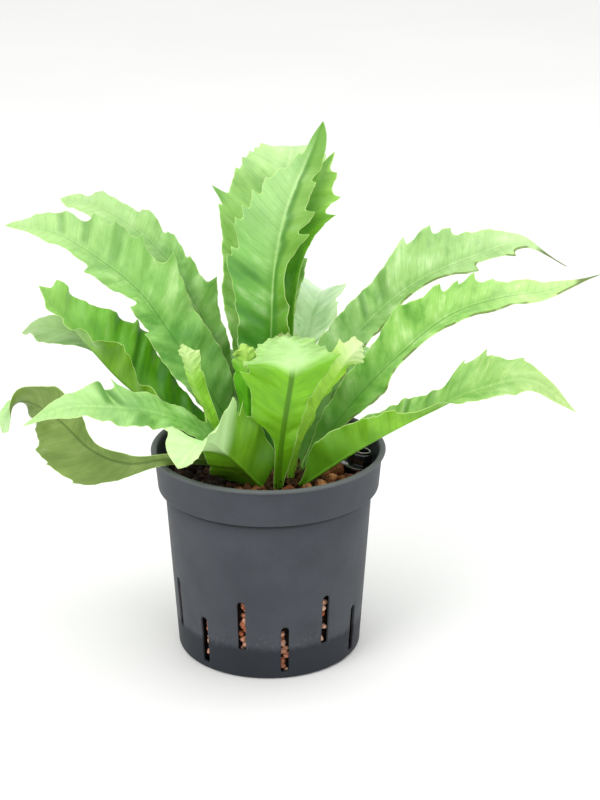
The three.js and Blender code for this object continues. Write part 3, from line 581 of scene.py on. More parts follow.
def blade_lift(look, side, part, vein, free, share, phase):
    """How far one half rises from its plain form, with its folds, ruffles, creases and crumples."""
    wander = vein + 2.0 * np.sin(vein / 19 + phase)
    lift = swell(SMALL_FOLD, wander, phase + side) * np.sin(np.pi * part)
    lift += look.folds[side > 0] * part**1.3 * swell(BROAD_FOLD, wander, 2.3 * phase + 2 * side)
    lift += part**4 * swell(RUFFLE, vein, 1.1 * phase + side)
    lift *= free
    for crease_side, foot, half, height in look.creases:
        if crease_side == side:
            lift += height * part**1.2 * bell((vein - foot) / half)
    young = np.clip((share - look.pale_start) / (1 - look.pale_start), 0, 1)
    return lift + look.crumpled * young * np.clip(part * 1.5, 0, 1) * crumple(vein, part * side, phase)


def half_blade(frond, look, spine, rows, edge, feet, side, phase):
    """Both faces of one half of a blade, with the numbers its material reads."""
    end = np.stack([np.interp(rows, feet, edge[:, k]) for k in (0, 1)], -1)
    wide = np.maximum(end[:, 1:], 0.05)
    rows = rows[:, None]
    rib = np.array(RIB_COLUMNS) * np.minimum(1, wide / (2 * RIB_COLUMNS[-1]))
    out = np.hstack([rib, rib[:, -1:] + (wide - rib[:, -1:]) * np.array(BLADE_COLUMNS)])
    part = out / wide
    distance = rows + (end[:, :1] - rows) * part
    share = distance / spine.length
    vein = np.repeat(rows, out.shape[1], 1)
    points, normals = blade_points(frond, spine, side, distance, out, phase)
    free = np.clip((wide - FOLDED_FROM) / FOLDED_OVER, 0, 1)
    lift = blade_lift(look, side, part, vein, free, share, phase)
    points = points + normals * lift[..., None]
    thin = 1 - np.clip(share, 0, 1)
    below = HALF_THICKNESS + RIB_DEPTH * (0.25 + 0.75 * thin) * bell(out / (0.5 + 0.8 * thin))
    above = HALF_THICKNESS + UPPER_RIB_HEIGHT * bell(out / UPPER_RIB_HALF)
    edge_off = (1 - part) * np.hypot(wide, end[:, :1] - rows)
    rim = np.clip(edge_off / MARGIN_TAPER, THINNEST, 1)
    return {
        "top": points + normals * (above * rim)[..., None],
        "under": points - normals * (below * rim)[..., None],
        "vein": vein,
        "part": part * side,
        "out": out,
        "margin": edge_off,
        "tip": share,
        "foot": vein / spine.length,
    }


def blade_grid(frond, look, spine, phase):
    """The rows of a blade's points and numbers, from its left margin to its right one."""
    halves = {}
    for side, teeth in ((-1, frond.left), (1, frond.right)):
        edge = margin(teeth, spine.length, side, phase)
        halves[side] = (edge, feet_of(edge, spine.length))
    rows = row_feet(halves, spine.length)
    left, right = (half_blade(frond, look, spine, rows, *halves[k], k, phase) for k in (-1, 1))
    joined = {key: np.hstack([left[key][:, :0:-1], right[key]]) for key in left}
    middle = left["top"].shape[1] - 1
    for key in ("top", "under"):
        joined[key][:, middle] = (left[key][:, 0] + right[key][:, 0]) / 2
    return joined


def frond_mesh(frond, look, index):
    """The fine blade of one frond as a closed mesh with the numbers its material reads."""
    spine = Spine(frond.spine)
    grid = blade_grid(frond, look, spine, PHASE_STEP * index)
    count, wide = grid["vein"].shape
    each = count * wide
    tip_centre, _ = spine.at(np.array([spine.length]))
    points = np.vstack([grid.pop("top").reshape(-1, 3), grid.pop("under").reshape(-1, 3), tip_centre])
    at = np.arange(each).reshape(count, wide)
    a, b, c, d = at[:-1, :-1], at[:-1, 1:], at[1:, 1:], at[1:, :-1]
    top = np.stack([a, b, c, d], -1).reshape(-1, 4)
    under = np.stack([a, d, c, b], -1).reshape(-1, 4) + each
    strips = []
    for line in (at[:, -1], at[::-1, 0], at[0]):
        strips.append(np.stack([line[:-1], line[:-1] + each, line[1:] + each, line[1:]], -1))
    faces = np.vstack([top, under, *strips]).tolist()
    end, tip = at[-1].tolist(), 2 * each
    faces += [[x, y, tip] for x, y in zip(end[:-1], end[1:])]
    faces += [[y + each, x + each, tip] for x, y in zip(end[:-1], end[1:])]
    faces += [[end[-1], end[-1] + each, tip], [end[0] + each, end[0], tip]]
    mesh = bpy.data.meshes.new("frond_" + frond.name)
    mesh.from_pydata((points * MM).tolist(), [], faces)
    for name, numbers in grid.items():
        store(mesh, name, np.append(np.tile(numbers.ravel(), 2), numbers.ravel()[-1]))
    store(mesh, "below", np.concatenate([np.zeros(each), np.ones(each), [0.5]]))
    mesh.shade_smooth()
    return mesh


# Shader helpers


class Shader:
    """A material with short calls for its nodes."""

    def __init__(self, name):
        self.material = bpy.data.materials.new(name)
        self.material.use_nodes = True
        self.tree = self.material.node_tree
        self.surface = self.tree.nodes["Principled BSDF"]

    def node(self, kind, settings=None, **inputs):
        """A new node. An input is given by its name, or by i and its number."""
        made = self.tree.nodes.new("ShaderNode" + kind)
        for key, value in (settings or {}).items():
            setattr(made, key, value)
        for key, value in inputs.items():
            self.put(made, int(key[1:]) if key[1:].isdigit() else key, value)
        return made

    def put(self, node, key, value):
        if isinstance(value, bpy.types.NodeSocket):
            self.tree.links.new(value, node.inputs[key])
        else:
            node.inputs[key].default_value = value

    def math(self, how, a, b=0.0, c=0.0):
        return self.node("Math", {"operation": how}, i0=a, i1=b, i2=c).outputs[0]

    def times(self, *factors):
        product, *others = factors
        for factor in others:
            product = self.math("MULTIPLY", product, factor)
        return product

    def wave(self, value, gap):
        return self.math("SINE", self.times(value, 2 * math.pi / gap))

    def value(self, name):
        return self.node("Attribute", {"attribute_name": name}).outputs["Fac"]

    def ramp(self, value, low, high, start=0.0, end=1.0):
        settings = {"interpolation_type": "SMOOTHSTEP"}
        return self.node("MapRange", settings, i0=value, i1=low, i2=high, i3=start, i4=end).outputs[0]

    def mix(self, factor, a, b):
        return self.node("Mix", {"data_type": "RGBA"}, i0=factor, i6=a, i7=b).outputs[2]

    def noise(self, vector, scale, detail=3.0, roughness=0.55):
        made = self.node("TexNoise", None, Vector=vector, Scale=scale, Detail=detail, Roughness=roughness)
        return made.outputs["Fac"]

    def place(self):
        return self.node("TexCoord").outputs["Object"]

    def bump(self, height, distance, strength):
        return self.node("Bump", None, Height=height, Distance=distance, Strength=strength).outputs[0]

    def finish(self, **values):
        for key, value in values.items():
            self.put(self.surface, key.replace("_", " "), value)
        return self.material


# Leaf colour


class LeafShader(Shader):
    """The inputs, patterns and colours that both faces of a leaf share."""

    def __init__(self, name, look):
        super().__init__(name)
        self.look = look
        self.vein, self.part, self.out = self.value("vein"), self.value("part"), self.value("out")
        self.edge, self.tip, self.foot = self.value("margin"), self.value("tip"), self.value("foot")
        place = self.place()
        self.speck = self.noise(place, 700.0, 2.0)
        self.sheen = self.noise(place, 220.0, 2.0)
        course = self.math("ADD", self.vein, self.times(self.noise(place, 40.0, 2.0), 2.5))
        # The mottle is partly random tone and partly painted shade and highlight of soft folds along the
        # veins
        streak = self.node("CombineXYZ", None, i0=self.times(course, 0.11), i1=self.times(self.part, 1.1))
        tone = self.noise(streak.outputs[0], 1.0, 4.0, 0.58)
        patch = self.noise(place, 30.0, 3.0)
        self.fold_shade_mottle = self.math("ADD", self.times(tone, 0.6), self.times(patch, 0.4))
        broken = self.ramp(self.noise(place, 90.0, 2.0), 0.38, 0.62, 0.25, 1.0)
        self.fine = self.times(self.wave(course, FINE_VEIN_GAP), broken)
        self.main = self.times(self.ramp(self.wave(course, MAIN_VEIN_GAP), 0.78, 1.0), broken)
        self.bright, self.low, self.pale = (linear(text) for text in look[:3])
        # dark and deep are the colours of the painted shade, dark also of the veins and specks
        self.dark, self.deep = shade(self.bright, 0.42, 0.62, 0.34), shade(self.bright, 0.22, 0.42, 0.1)
        self.wide_rib = look.rib_line > 1
        self.fade = self.towards_tip(1.0, 0.0 if self.wide_rib else 0.3)

    def towards_tip(self, start, end):
        """A number that changes where the tip turns pale."""
        return self.ramp(self.foot, self.look.pale_start, self.look.pale_end, start, end)


def upper_colour(leaf):
    """Painted fold shade and highlight, the pale tip (partly a painted highlight), painted shade towards the
    crown, veins and the midrib's line of the upper face.
    """
    # Painted shade and highlight of the folds, from the mottle
    face = leaf.mix(leaf.ramp(leaf.fold_shade_mottle, 0.36, 0.52), leaf.dark, leaf.bright)
    face = leaf.mix(leaf.ramp(leaf.fold_shade_mottle, 0.5, 0.66, 0.0, 0.75), face, leaf.pale)
    face = leaf.mix(leaf.towards_tip(0.0, 0.8), face, leaf.pale)
    # Painted shade: darker towards the crown, where the fronds shade each other
    face = leaf.mix(leaf.ramp(leaf.tip, 0.06, 0.55, 0.8, 0.0), face, leaf.deep)
    face = leaf.mix(leaf.ramp(leaf.fine, 0.3, 1.0, 0.0, 0.11), face, leaf.dark)
    face = leaf.mix(leaf.times(leaf.main, 0.22), face, leaf.dark)
    rib_tone = leaf.look.rib_tone
    rib = leaf.times(leaf.ramp(leaf.out, 0.25, 0.8, abs(rib_tone), 0.0), leaf.fade)
    return leaf.mix(rib, face, PALE_RIB if rib_tone > 0 else leaf.deep)


def shaded_colour(leaf, face):
    """The upper face with painted shade in its creases, in a hidden half and beside the midrib, and for a
    warm frond painted shade and light on its two halves.
    """
    for side, foot, half, height in leaf.look.creases:
        away = leaf.math("ABSOLUTE", leaf.math("SUBTRACT", leaf.vein, float(foot)))
        inside = leaf.ramp(leaf.part, 0.0, 0.3 * side, 0.0, min(0.8, abs(height) / 3))
        band = leaf.times(leaf.ramp(away, 0.15 * half, 0.85 * half, 1.0, 0.0), inside)
        face = leaf.mix(band, face, leaf.deep)
    if leaf.look.shaded:
        face = leaf.mix(leaf.ramp(leaf.part, *leaf.look.shaded, 0.0, 0.6), face, leaf.deep)
    # Painted light and shade: the right half darker and yellower, the left half cooler and lighter, shade
    # towards the crown and in the fold beside the midrib
    if leaf.look.warm:
        face = leaf.mix(leaf.ramp(leaf.part, 0.05, 0.3, 0.0, 0.7), face, shade(leaf.bright, 0.95, 0.8, 0.3))
        face = leaf.mix(leaf.ramp(leaf.part, -0.05, -0.3, 0.0, 0.15), face, LIT_HALF_TINT)
        face = leaf.mix(leaf.ramp(leaf.foot, 0.3, 0.62, 0.45, 0.0), face, leaf.deep)
        fold = leaf.times(leaf.ramp(leaf.part, 0.04, 0.16), leaf.ramp(leaf.part, 0.2, 0.5, 0.7, 0.0))
        face = leaf.mix(fold, face, leaf.deep)
    hollow = leaf.times(leaf.ramp(leaf.out, 0.7, 1.2), leaf.ramp(leaf.out, 1.3, 5.5, 0.35, 0.0))
    return leaf.mix(leaf.times(hollow, leaf.fade), face, leaf.dark)


def under_colour(leaf):
    """The duller lower face, with stronger veins, a dark midrib, painted fold shade and highlight, painted
    shade towards the crown and a pale tip that is partly a painted highlight.
    """
    dark = shade(leaf.low, 0.55, 0.64, 0.42)
    # Painted shade and highlight of the folds, from the mottle
    back = leaf.mix(leaf.ramp(leaf.fold_shade_mottle, 0.36, 0.6, 0.75, 0.0), leaf.low, dark)
    back = leaf.mix(leaf.ramp(leaf.fold_shade_mottle, 0.54, 0.7, 0.0, 0.6), back, shade(leaf.low, 1.5, 1.35, 1.5))
    back = leaf.mix(leaf.ramp(leaf.fine, 0.2, 1.0, 0.0, 0.1), back, dark)
    back = leaf.mix(leaf.times(leaf.main, 0.45), back, dark)
    # Painted shade: darker towards the crown
    back = leaf.mix(leaf.ramp(leaf.tip, 0.05, 0.45, 0.7, 0.0), back, shade(leaf.low, 0.25, 0.45, 0.1))
    pale_part = leaf.towards_tip(0.0, 0.85)
    if leaf.wide_rib:
        spread = leaf.ramp(leaf.math("ABSOLUTE", leaf.part), 0.0, 1.0, 0.85, 0.55)
        pale_part = leaf.times(pale_part, spread, leaf.ramp(leaf.fold_shade_mottle, 0.36, 0.6, 0.7, 1.0))
    back = leaf.mix(pale_part, back, leaf.pale)
    half = leaf.look.rib_line
    rib = leaf.ramp(leaf.out, 0.45 * half, half, abs(min(leaf.look.rib_tone, 0.0)), 0.0)
    return leaf.mix(leaf.times(rib, leaf.fade), back, shade(leaf.low, 0.35, 0.42, 0.25))


def margin_colour(leaf, colour):
    """The leaf with its specks, pale rim, brown rolled edge and darker tail."""
    colour = leaf.mix(leaf.ramp(leaf.speck, 0.6, 0.75, 0.0, 0.14), colour, leaf.dark)
    colour = leaf.mix(leaf.ramp(leaf.edge, 0.12, 0.6, 0.6, 0.0), colour, PALE_MARGIN)
    if leaf.look.rolled:
        along = leaf.node("CombineXYZ", None, i0=leaf.times(leaf.vein, 0.06)).outputs[0]
        broken = leaf.ramp(leaf.noise(along, 1.0, 1.0), 0.47, 0.53)
        rolled = leaf.times(leaf.ramp(leaf.edge, 1.0, 1.7, 1.0, 0.0), broken)
        rolled = leaf.times(rolled, leaf.ramp(leaf.part, 0.0, 0.2, 0.0, 0.8))
        colour = leaf.mix(rolled, colour, BROWN_MARGIN)
    if leaf.look.tail:
        start, end, tone = leaf.look.tail
        colour = leaf.mix(leaf.ramp(leaf.tip, start, end, 0.0, 0.85), colour, linear(tone))
    return colour


def leaf_material(name, look):
    leaf = LeafShader(name, look)
    is_under = leaf.ramp(leaf.value("below"), 0.4, 0.6)
    colour = leaf.mix(is_under, shaded_colour(leaf, upper_colour(leaf)), under_colour(leaf))
    relief = leaf.math("ADD", leaf.times(leaf.fine, 0.05), leaf.times(leaf.speck, 0.5))
    return leaf.finish(
        Base_Color=margin_colour(leaf, colour),
        Roughness=leaf.ramp(leaf.sheen, 0.3, 0.7, 0.36, 0.5),
        Specular_IOR_Level=0.4,
        Subsurface_Weight=0.15,
        Subsurface_Radius=(0.7, 1.0, 0.25),
        Subsurface_Scale=0.0015,
        Normal=leaf.bump(relief, 0.00016, 0.7),
    )


# Pot

POT_SIDES = 168
POT_BEVEL = 0.3
SLOT_COUNT = 14
FIRST_SLOT_TURN = 9.2
SLOT_HALF = 2.2
SLOT_CORNER = 0.6
SLOT_CUT = (40.0, 62.0)
# Bottom and top of the even slots, then of the odd ones
SLOT_ROWS = ((4.5, 32.5), (18.0, 47.5))


def turned_shape(profile, sides):
    """A closed turned shape. Its (radius, z) profile closes on itself, or both ends are on the axis."""
    on_axis = profile[0][0] == 0
    inner = profile[1:-1] if on_axis else profile
    count = len(inner)
    turn = 2 * np.pi * np.arange(sides) / sides
    rows = [np.stack([r * np.cos(turn), r * np.sin(turn), np.full(sides, z)], -1) for r, z in inner]
    points = np.vstack(rows)
    at = np.arange(count * sides).reshape(count, sides)
    at = np.hstack([at, at[:, :1]])
    faces = []
    for row in range(count - 1 if on_axis else count):
        low, high = at[row], at[(row + 1) % count]
        faces += np.stack([low[:-1], low[1:], high[1:], high[:-1]], -1).tolist()
    if on_axis:
        first, last = len(points), len(points) + 1
        points = np.vstack([points, [(0, 0, profile[0][1]), (0, 0, profile[-1][1])]])
        low, high = at[0].tolist(), at[-1].tolist()
        faces += [[first, y, x] for x, y in zip(low, low[1:])]
        faces += [[last, x, y] for x, y in zip(high, high[1:])]
    return points, faces


def turned_mesh(name, profile, sides):
    return joined_mesh(name, [turned_shape(profile, sides)])


def smooth(target, sharp_angle):
    """Shades an object smoothly, but for edges over an angle in degrees."""
    target.data.shade_smooth()
    target.data.set_sharp_from_angle(angle=math.radians(sharp_angle))


def arc(centre, radius, start, end, steps):
    """Profile points round a corner, angles in degrees."""
    angles = np.radians(np.linspace(start, end, steps))
    return [(centre[0] + radius * math.cos(a), centre[1] + radius * math.sin(a)) for a in angles]


def pot_profile():
    """The pot's cross section, up its outside, over the rolled lip and down its inside."""
    base = [(0, 0.0), (20, 0.0), (40, 0.0), (49.3, 0.0), *arc((49.5, 2.2), 2.2, -80, 0, 7)]
    wall = [(51.7 + 5.6 * f, 2.2 + 87.8 * f) for f in (0.05, 0.15, 0.3, 0.45, 0.6, 0.75, 0.9)]
    step = [(57.55, 94.3), (57.2, 94.8), (57.15, 95.6), (57.5, 96.0), (59.2, 96.15), (60.9, 96.2)]
    step += [(61.35, 96.5), (61.5, 97.1), (61.55, 98.2)]
    collar = [(62.0, 103.0), (62.6, 110.0), (62.95, 114.6), (63.3, 115.6), (64.2, 116.1)]
    lip = [*arc((64.0, 117.1), 1.0, -50, 95, 8), (63.0, 118.2), (62.1, 117.9), (61.6, 117.2)]
    shoulder = [(61.2, 113.0), (60.6, 105.0), (60.15, 100.6), (59.7, 98.9), (58.6, 98.1)]
    shoulder += [(57.0, 97.7), (56.3, 97.0), (56.1, 95.0), (55.9, 90.2)]
    inside = [(50.3 + 5.6 * f, 2.8 + 87.4 * f) for f in (0.9, 0.7, 0.5, 0.35, 0.2, 0.05)]
    bottom = [(50.2, 3.4), (49.8, 2.4), (49.0, 1.9), (40, 1.8), (20, 1.8), (0, 1.8)]
    return base + wall + step + collar + lip + shoulder + inside + bottom


def slot_frame(index):
    """A slot's turn round the pot, its bottom and its top."""
    return math.radians(FIRST_SLOT_TURN + 360 / SLOT_COUNT * index), *SLOT_ROWS[index % 2]


def at_slot(turn, side, out):
    """The place at a distance from the pot's axis, and to one side of a slot's middle."""
    return side * math.cos(turn) + out * math.sin(turn), side * math.sin(turn) - out * math.cos(turn)


def slot_block(index):
    """A straight cutter with a round top for one slot, as points and faces."""
    turn, bottom, top = slot_frame(index)
    flat = SLOT_HALF - SLOT_CORNER
    outline = [(-SLOT_HALF, bottom + SLOT_CORNER), (-flat, bottom)]
    outline += [(flat, bottom), (SLOT_HALF, bottom + SLOT_CORNER)]
    outline += arc((0, top - SLOT_HALF), SLOT_HALF, 0, 180, 9)
    points = [(*at_slot(turn, x, depth), z) for depth in SLOT_CUT for x, z in outline]
    count = len(outline)
    faces = [list(range(count - 1, -1, -1)), list(range(count, 2 * count))]
    faces += [[i, (i + 1) % count, count + (i + 1) % count, count + i] for i in range(count)]
    return points, faces


def pot_object():
    pot = add_object("pot_shell", turned_mesh("pot_shell", pot_profile(), POT_SIDES))
    slots = joined_mesh("slot_cutter", [slot_block(i) for i in range(SLOT_COUNT)])
    fuse(pot, [add_object("slot_cutter", slots)], "DIFFERENCE")
    soften = pot.modifiers.new("edges", "BEVEL")
    soften.width = POT_BEVEL * MM
    soften.segments = 2
    soften.limit_method = "ANGLE"
    soften.angle_limit = math.radians(50)
    soften.harden_normals = True
    apply_modifiers(pot)
    smooth(pot, 35)
    return pot


def pot_material():
    """Dark grey plastic with a wet foot, a dusty line above it, a painted shadow line under the collar and a
    painted highlight round the rim.
    """
    paint = Shader("pot plastic")
    place = paint.place()
    height = paint.node("SeparateXYZ", None, Vector=place).outputs[2]
    speck = paint.noise(place, 1500.0, 3.0, 0.7)
    body = paint.mix(paint.ramp(paint.noise(place, 45.0), 0.3, 0.7), linear("34383f"), linear("3c4047"))
    body = paint.mix(paint.ramp(speck, 0.5, 0.72, 0.0, 0.25), body, linear("5c6066"))
    waver = paint.math("SUBTRACT", paint.noise(place, 260.0, 4.0, 0.7), 0.5)
    foot = paint.math("ADD", height, paint.times(waver, 0.006))
    wet = paint.ramp(foot, 0.0165, 0.0215, 1.0, 0.0)
    body = paint.mix(paint.times(wet, 0.75), body, linear("1c2128"))
    line = paint.times(paint.ramp(foot, 0.019, 0.022), paint.ramp(foot, 0.024, 0.032, 1.0, 0.0))
    dust = paint.ramp(paint.noise(place, 600.0, 4.0, 0.7), 0.52, 0.72, 0.0, 0.35)
    body = paint.mix(paint.times(line, dust), body, linear("6c6e6c"))
    # Painted shadow: a dark line under the collar
    collar_shadow = paint.times(paint.ramp(height, 0.0925, 0.0945), paint.ramp(height, 0.0961, 0.0965, 1.0, 0.0))
    body = paint.mix(paint.times(collar_shadow, 0.8), body, linear("0c0e10"))
    # Painted highlight: a paler band round the top of the rim
    body = paint.mix(paint.ramp(height, 0.1155, 0.1178, 0.0, 0.4), body, linear("757a77"))
    return paint.finish(
        Base_Color=body,
        Roughness=paint.ramp(speck, 0.3, 0.7, 0.5, 0.66),
        Specular_IOR_Level=paint.ramp(wet, 0.0, 1.0, 0.38, 0.24),
        Normal=paint.bump(paint.noise(place, 900.0, 4.0, 0.6), 0.00006, 0.8),
    )


# Pebbles

# Turn of the gauge sleeve round the pot, and seats of its tubes as (radius, height, lean)
SLEEVE_TURN = math.radians(10.5)
HEAD_SEAT = (52.0, 102.2, 8.5)
SHAFT_SEAT = (44.75, 2.9, 3.64)
CROWN_X, CROWN_Y = 8.0, -6.0

# Courses on top of the bed as (height, step, reach), with room for the crown and the sleeve
BED_REACH = 60
PEBBLE_COURSES = ((97.6, 6.8, 55.8), (101.3, 6.6, 59.0))
PEBBLE_SIZE = (2.3, 4.2)
PEBBLE_STRAY = (-1.9, 1.9)
PEBBLE_STRETCH = ((0.8, 1.2), (0.75, 1.1), (0.7, 0.95))
LUMP_HEIGHT = 0.075
SLOT_PEBBLE_SIZE = (1.7, 2.7)
# Inner radius of the pot at its foot, and its gain for each millimetre of height
POT_FOOT_INSIDE = 50.3
POT_SLOPE = 0.0637
CROWN_ROOM = 19
SLEEVE_ROOM = 10.5


def unit_pebble():
    """Points and faces of a round of 320 faces and radius 1."""
    shape = bmesh.new()
    bmesh.ops.create_icosphere(shape, subdivisions=3, radius=1.0)
    points = np.array([v.co[:] for v in shape.verts])
    faces = [[v.index for v in f.verts] for f in shape.faces]
    shape.free()
    return points, faces


def top_spots(draws):
    """Middle and size of the pebbles of both courses on top."""
    head_x, head_y = HEAD_SEAT[0] * math.cos(SLEEVE_TURN), HEAD_SEAT[0] * math.sin(SLEEVE_TURN)
    for level, step, reach in PEBBLE_COURSES:
        cells = int(BED_REACH / step) + 1
        for i in range(-cells, cells + 1):
            for j in range(-cells, cells + 1):
                x = step * (i + 0.5 * (j % 2)) + draws.uniform(*PEBBLE_STRAY)
                y = step * 0.87 * j + draws.uniform(*PEBBLE_STRAY)
                size = draws.uniform(*PEBBLE_SIZE)
                outside = math.hypot(x, y) > reach - size
                in_crown = math.hypot(x - CROWN_X, y - CROWN_Y) < CROWN_ROOM
                in_sleeve = math.hypot(x - head_x, y - head_y) < SLEEVE_ROOM
                if not (outside or in_crown or in_sleeve):
                    yield x, y, level + draws.uniform(-0.9, 0.9), size


def slot_spots(draws):
    """Middle and size of the pebbles behind the slots."""
    for index in range(SLOT_COUNT):
        turn, bottom, top = slot_frame(index)
        z = bottom - 1
        while z < top - 3:
            size = draws.uniform(*SLOT_PEBBLE_SIZE)
            side = draws.uniform(-1.8, 1.8)
            wall = POT_FOOT_INSIDE + POT_SLOPE * z
            yield *at_slot(turn, side, wall - size - draws.uniform(0.2, 1.5)), z, size
            z += size * 1.45


def pebble_points(base, size, draws):
    """The points of one lumpy pebble, turned at random."""
    stretch = [draws.uniform(*limits) for limits in PEBBLE_STRETCH]
    waves = np.array([[draws.gauss(0, 1) for _ in range(3)] for _ in range(5)])
    bumps = sum(LUMP_HEIGHT * np.sin(base @ (wave * 2.4) + 3 * k) for k, wave in enumerate(waves))
    shape = base * (1 + bumps[:, None]) * stretch * size
    for axis, angle in enumerate([draws.uniform(0, math.pi) for _ in range(3)]):
        shape = spin(shape, axis, angle)
    return shape


def pebbles_object():
    draws = random.Random(5)
    base, faces = unit_pebble()
    parts, tones, sides = [], [], []
    for x, y, z, size in [*top_spots(draws), *slot_spots(draws)]:
        parts.append((pebble_points(base, size, draws) + (x, y, z), faces))
        tones.append(draws.random())
        sides.append(x)
    mesh = joined_mesh("clay_pebbles", parts, tone=tones, place_x=sides)
    mesh.shade_smooth()
    return add_object("clay_pebbles", mesh)


def pebble_material():
    """Warm clay, darkened on the left in painted shade with pale flecks, painted lighter low behind the
    slots, with dark patches painted as shade in its pits.
    """
    paint = Shader("clay pebbles")
    place = paint.place()
    tone, x = paint.value("tone"), paint.value("place_x")
    high = paint.node("SeparateXYZ", None, Vector=place).outputs[2]
    grain = paint.noise(place, 700.0, 5.0, 0.7)
    warm = paint.mix(tone, linear("6e3618"), linear("dc9a62"))
    warm = paint.mix(paint.ramp(paint.noise(place, 160.0), 0.4, 0.62, 0.0, 0.7), warm, linear("451c0a"))
    dark = paint.mix(tone, linear("0e0604"), linear("32190f"))
    dark = paint.mix(paint.ramp(grain, 0.6, 0.72, 0.0, 0.75), dark, linear("d9b3a4"))
    # Painted shade: the pebbles on the left, under the drooping fronds, darkened
    strewn = paint.math("ADD", x, paint.times(paint.math("SUBTRACT", tone, 0.5), 30.0))
    left = paint.times(paint.ramp(strewn, -22.0, -6.0, 1.0, 0.0), paint.ramp(high, 0.07, 0.09))
    colour = paint.mix(left, warm, dark)
    # Painted light: the pebbles low down behind the slots lightened
    light = paint.mix(tone, linear("c8683c"), linear("f6cdb4"))
    colour = paint.mix(paint.ramp(high, 0.06, 0.08, 0.75, 0.0), colour, light)
    # Painted shade: dark grain patches as shade in the pits
    colour = paint.mix(paint.ramp(grain, 0.52, 0.34, 0.0, 0.8), colour, linear("1c0d07"))
    return paint.finish(
        Base_Color=colour,
        Roughness=0.82,
        Specular_IOR_Level=0.3,
        Normal=paint.bump(paint.noise(place, 900.0, 6.0, 0.7), 0.00035, 0.9),
    )


def core_object():
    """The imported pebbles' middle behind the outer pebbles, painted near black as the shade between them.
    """
    profile = [(0, 3.4), (47.0, 3.4), (48.0, 5.0), (52.6, 88.0), (54.8, 93.0), (55.4, 97.0), (0, 97.8)]
    return add_object("pebble_core", turned_mesh("pebble_core", profile, 96))


def core_material():
    paint = Shader("pebble shade")
    place = paint.place()
    # Painted shade: near black for the gaps between the pebbles
    colour = paint.mix(paint.ramp(paint.noise(place, 250.0), 0.35, 0.65), linear("0c0705"), linear("20130b"))
    return paint.finish(
        Base_Color=colour,
        Roughness=0.95,
        Specular_IOR_Level=0.2,
        Normal=paint.bump(paint.noise(place, 400.0, 5.0, 0.7), 0.0006, 1.0),
    )


# Gauge sleeve

SHAFT_LENGTH = 100.5
SHAFT_RADIUS = 5.0
SLEEVE_BORE = 4.0
HEAD_RADIUS = 6.9
HEAD_HEIGHT = 7.8
RING_RADIUS = 5.3
FLANGE_RADIUS = 11.6
FLANGE_THICKNESS = 1.4
POT_INSIDE = 59.7
LIP_BOTTOM = HEAD_HEIGHT + 0.85


def seated_ring(name, profile, sides, seat):
    """A closed ring at a seat of the sleeve: leant outwards at its place, then swung round the pot."""
    radius, height, lean = seat
    made = add_object(name, turned_mesh(name, profile, sides))
    place = Matrix.Translation((radius * MM, 0, height * MM))
    leant = place @ Matrix.Rotation(math.radians(lean), 4, "Y")
    made.data.transform(Matrix.Rotation(SLEEVE_TURN, 4, "Z") @ leant)
    return made


def tube_profile(radius, bottom, top, soft):
    """A tube's cross section with softened rims, from its inner foot round to its inner top."""
    mouth, rim, edge = SLEEVE_BORE + soft * 0.6, radius - soft, soft * 0.3
    foot = [(SLEEVE_BORE, bottom + soft), (mouth, bottom), (rim, bottom), (radius - edge, bottom + edge)]
    side = [(radius, bottom + soft), (radius, top - soft)]
    head = [(radius - edge, top - edge), (rim, top), (mouth, top), (SLEEVE_BORE, top - soft)]
    return foot + side + head


def rod_profile(radius, bottom, top):
    return [(0, bottom), (radius, bottom), (radius, top), (0, top)]


def sleeve_object():
    """Shaft, eight-sided head, flange and collar as one tube with a clear bore."""
    sleeve = seated_ring("sleeve_body", tube_profile(SHAFT_RADIUS, 0.2, SHAFT_LENGTH, 0.3), 48, SHAFT_SEAT)
    head = tube_profile(HEAD_RADIUS, FLANGE_THICKNESS / 2, HEAD_HEIGHT, 0.5)
    head = seated_ring("head", head, 8, HEAD_SEAT)
    flange = tube_profile(FLANGE_RADIUS, 0.0, FLANGE_THICKNESS, 0.4)
    flange = seated_ring("flange", flange, 64, HEAD_SEAT)
    trim = add_object("trim", turned_mesh("trim", rod_profile(POT_INSIDE, -200.0, 200.0), 128))
    fuse(flange, [trim], "INTERSECT")
    collar = tube_profile(RING_RADIUS, HEAD_HEIGHT - 1, HEAD_HEIGHT + 0.9, 0.25)
    fuse(sleeve, [head, flange, seated_ring("collar", collar, 48, HEAD_SEAT)])
    clear = rod_profile(SLEEVE_BORE - 0.02, 1.0, HEAD_HEIGHT + 6)
    fuse(sleeve, [seated_ring("clear", clear, 48, HEAD_SEAT)], "DIFFERENCE")
    smooth(sleeve, 28)
    return sleeve


def sleeve_lip_object():
    """The thin raised lip round the sleeve's mouth, painted pale grey as a highlight on the black plastic.
    """
    lip = [(SLEEVE_BORE + 0.15, LIP_BOTTOM), (RING_RADIUS - 0.15, LIP_BOTTOM)]
    lip += [(RING_RADIUS - 0.1, LIP_BOTTOM + 0.25), (RING_RADIUS - 0.5, LIP_BOTTOM + 0.4)]
    lip += [(SLEEVE_BORE + 0.3, LIP_BOTTOM + 0.3)]
    made = seated_ring("sleeve_lip", lip, 48, HEAD_SEAT)
    made.data.shade_smooth()
    return made


def sleeve_material(name, tone):
    paint = Shader(name)
    place = paint.place()
    grain = paint.noise(place, 900.0)
    light = [part * 1.5 + 0.004 for part in linear(tone)[:3]] + [1.0]
    return paint.finish(
        Base_Color=paint.mix(paint.ramp(grain, 0.35, 0.7), linear(tone), light),
        Roughness=paint.ramp(paint.noise(place, 300.0), 0.3, 0.7, 0.12, 0.22),
        Specular_IOR_Level=0.7,
        Coat_Weight=0.8,
        Coat_Roughness=0.06,
        Normal=paint.bump(grain, 0.00003, 0.6),
    )


# Crown

